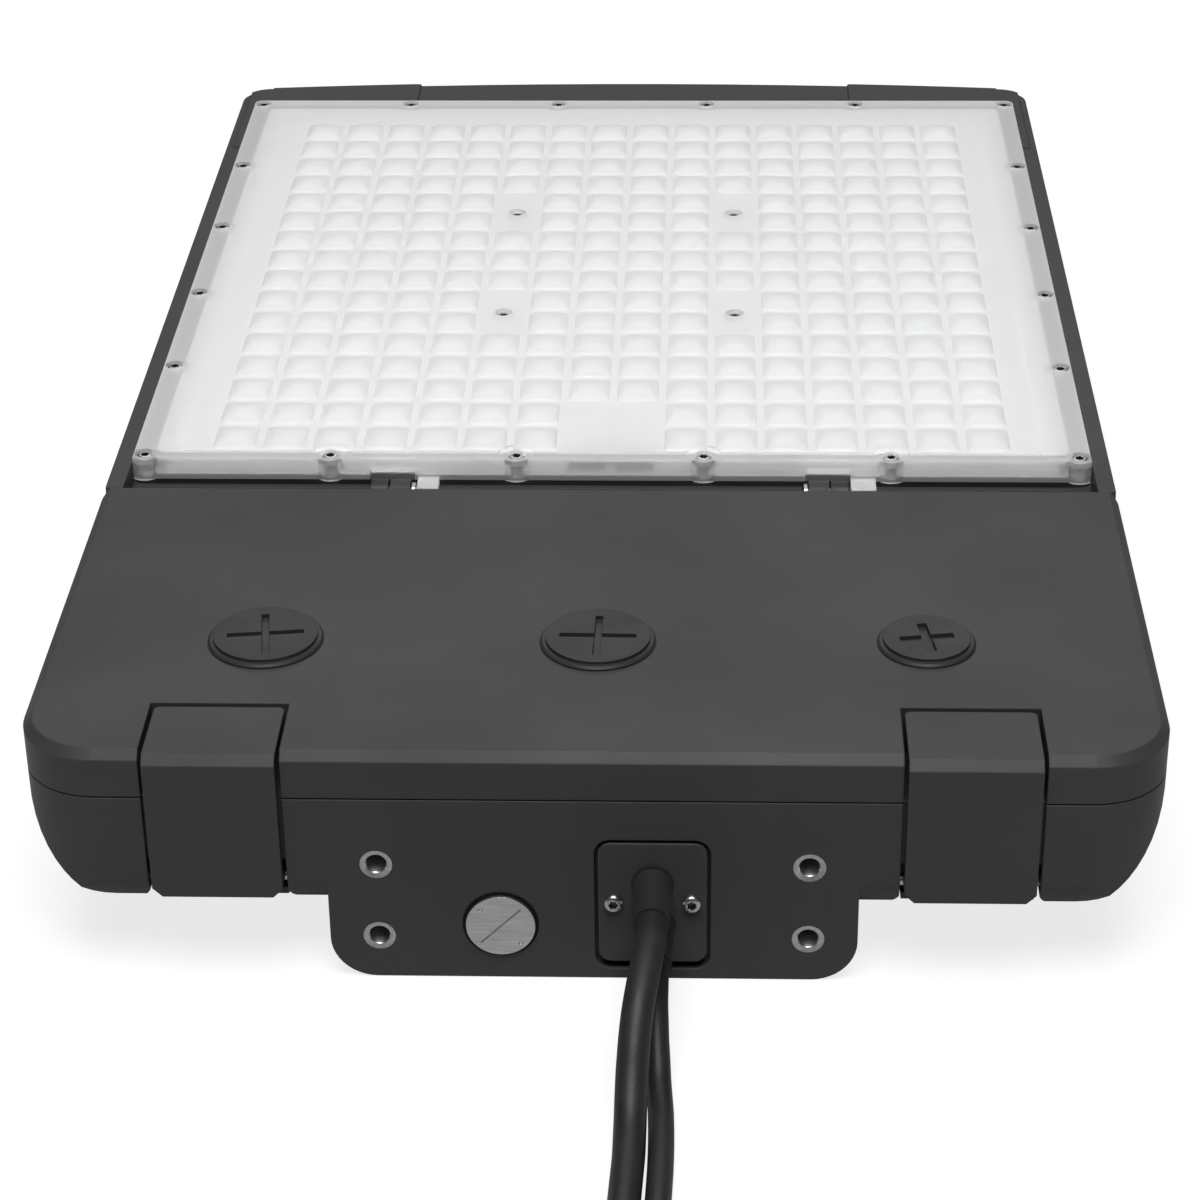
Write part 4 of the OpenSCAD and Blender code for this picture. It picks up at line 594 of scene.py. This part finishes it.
def addCord(s):
    points = [Vector(p) for p in s["route"]] + coilPath(s)[1:]
    path = smoothPath(points, tube["steps"])
    jacket = addTubes(s["name"], [path], s["diameter"] / 2, [finish(cordRubber)], tube["facets"])
    end, ahead = path[-1], (path[-1] - path[-2]).normalized()
    side = ahead.cross(Vector((0, 0, 1))).normalized()
    lead, tip = bareEnd["lead"], bareEnd["tip"]
    leadPaths, tipPaths, leadFinishes = [], [], []
    count = len(s["leads"])
    for i, colour in enumerate(s["leads"]):
        spread = (i - (count - 1) / 2) * side
        for shape, paths in ((lead, leadPaths), (tip, tipPaths)):
            line = [end + ahead * along + spread * out for along, out in shape["line"]]
            paths.append(smoothPath(line, bareEnd["steps"]))
        leadFinishes.append(finish({
            **leadRubber, "name": s["name"] + "Lead" + str(i), "colour": colour,
            "shade": tuple(c * bareEnd["dim"] for c in colour)}))
    leads = addTubes(s["name"] + "Leads", leadPaths, lead["radius"], leadFinishes, lead["facets"])
    tips = addTubes(s["name"] + "Tips", tipPaths, tip["radius"], [finish(copperTip)], tip["facets"])
    for piece, material in ((jacket, "cord_rubber"), (leads, "lead_insulation_dark"), (tips, "copper")):
        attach(piece, "housing")
    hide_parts(s["node"], s["node"] + "_coil")
    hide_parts(s["node"] + "_wires")
    strap = addStrap(s)


strapWeave = {
    "name": "hookAndLoopStrap", "stretch": (1, 2, 2),
    "colour": (0.03, 0.03, 0.031), "shade": (0.018, 0.018, 0.018),
    "cloud": 1600, "rough": (0.8, 0.95), "grain": 2600, "bump": 0.7, "depth": 0.0003,
}
strapShape = {"less": (0, 0.0002, 0.0001), "round": 0.46, "segments": 6, "wall": 0.0008}


def addStrap(s):
    # A flat strap with rounded corners round the strands, in the box of its CAD node
    low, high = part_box(s["node"] + "_tie")
    bm = bmesh.new()
    bmesh.ops.create_cube(bm, size=1)
    size = high - low - Vector(strapShape["less"])
    bmesh.ops.scale(bm, vec=size, verts=bm.verts)
    bmesh.ops.translate(bm, vec=(low + high) / 2, verts=bm.verts)
    corners = [e for e in bm.edges if abs((e.verts[0].co - e.verts[1].co).x) > size.x / 2]
    bmesh.ops.bevel(bm, geom=corners, offset=s["diameter"] * strapShape["round"],
                    segments=strapShape["segments"], profile=0.5, affect="EDGES", material=-1)
    ends = [f for f in bm.faces if abs(f.normal.x) > 0.9]
    bmesh.ops.delete(bm, geom=ends, context="FACES_ONLY")
    bmesh.ops.solidify(bm, geom=bm.faces[:], thickness=strapShape["wall"])
    bmesh.ops.recalc_face_normals(bm, faces=bm.faces)
    strap = addPiece(s["node"].split("_")[0] + "CordStrap", bm, [finish(strapWeave)], "housing")
    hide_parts(s["node"] + "_tie")
    return strap


addCord(powerCord)
addCord(dimmingCord)
print("cords done")

# Floor, lamps and white surroundings

studio = {
    "floor": 5.0, "floorDrop": 0.0003, "floorGrey": 0.6, "floorRough": 0.9,
    "floorGlow": 1.6, "glowShare": 0.5,  # seen straight by the camera alone
    "key": {"place": (0, -1.2, 2.7), "aim": (0, 0, 0.05), "size": 1.5, "power": 64},
    "rear": {"place": (0, 1.9, 2.2), "aim": (0, 0, 0.05), "size": 2.2, "power": 20},
    "ambient": 0.14,
}


def addFloor(s):
    bm = bmesh.new()
    bmesh.ops.create_grid(bm, x_segments=1, y_segments=1, size=s["floor"])
    bmesh.ops.translate(bm, vec=(0, 0, -s["floorDrop"]), verts=bm.verts)
    mesh = bpy.data.meshes.new("floor")
    bm.to_mesh(mesh)
    bm.free()
    floor = bpy.data.objects.new("floor", mesh)
    scene.collection.objects.link(floor)
    material = bpy.data.materials.new("paleFloor")
    material.use_nodes = True
    tree = material.node_tree
    add, link = tree.nodes.new, tree.links.new
    shader = tree.nodes["Principled BSDF"]
    shader.inputs["Base Color"].default_value = (*[s["floorGrey"]] * 3, 1)
    shader.inputs["Roughness"].default_value = s["floorRough"]
    shader.inputs["Specular IOR Level"].default_value = 0
    glow = add("ShaderNodeEmission")
    glow.inputs["Strength"].default_value = s["floorGlow"]
    path = add("ShaderNodeLightPath")
    share = add("ShaderNodeMath")
    share.operation = "MULTIPLY"
    share.inputs[1].default_value = s["glowShare"]
    link(path.outputs["Is Camera Ray"], share.inputs[0])
    mix = add("ShaderNodeMixShader")
    link(share.outputs[0], mix.inputs[0])
    link(shader.outputs[0], mix.inputs[1])
    link(glow.outputs[0], mix.inputs[2])
    link(mix.outputs[0], tree.nodes["Material Output"].inputs["Surface"])
    mesh.materials.append(material)


def addLamp(name, s):
    lamp = bpy.data.lights.new(name, "AREA")
    lamp.shape = "SQUARE"
    lamp.size = s["size"]
    lamp.energy = s["power"]
    holder = bpy.data.objects.new(name, lamp)
    scene.collection.objects.link(holder)
    holder.location = s["place"]
    holder.rotation_euler = (Vector(s["aim"]) - Vector(s["place"])).to_track_quat("-Z", "Y").to_euler()


def addSurroundings(s):
    world = bpy.data.worlds.new("whiteStudio")
    scene.world = world
    world.use_nodes = True
    tree = world.node_tree
    add, link = tree.nodes.new, tree.links.new
    path = add("ShaderNodeLightPath")
    seen = add("ShaderNodeMath")
    seen.operation = "MAXIMUM"
    link(path.outputs["Is Camera Ray"], seen.inputs[0])
    link(path.outputs["Is Glossy Ray"], seen.inputs[1])
    either = add("ShaderNodeMath")
    either.operation = "MAXIMUM"
    link(seen.outputs[0], either.inputs[0])
    link(path.outputs["Is Transmission Ray"], either.inputs[1])
    level = add("ShaderNodeMapRange")
    level.inputs["To Min"].default_value = s["ambient"]
    level.inputs["To Max"].default_value = 1
    link(either.outputs[0], level.inputs["Value"])
    link(level.outputs[0], tree.nodes["Background"].inputs["Strength"])


addFloor(studio)
addLamp("keyLamp", studio["key"])
addLamp("rearLamp", studio["rear"])
addSurroundings(studio)
print("studio done")
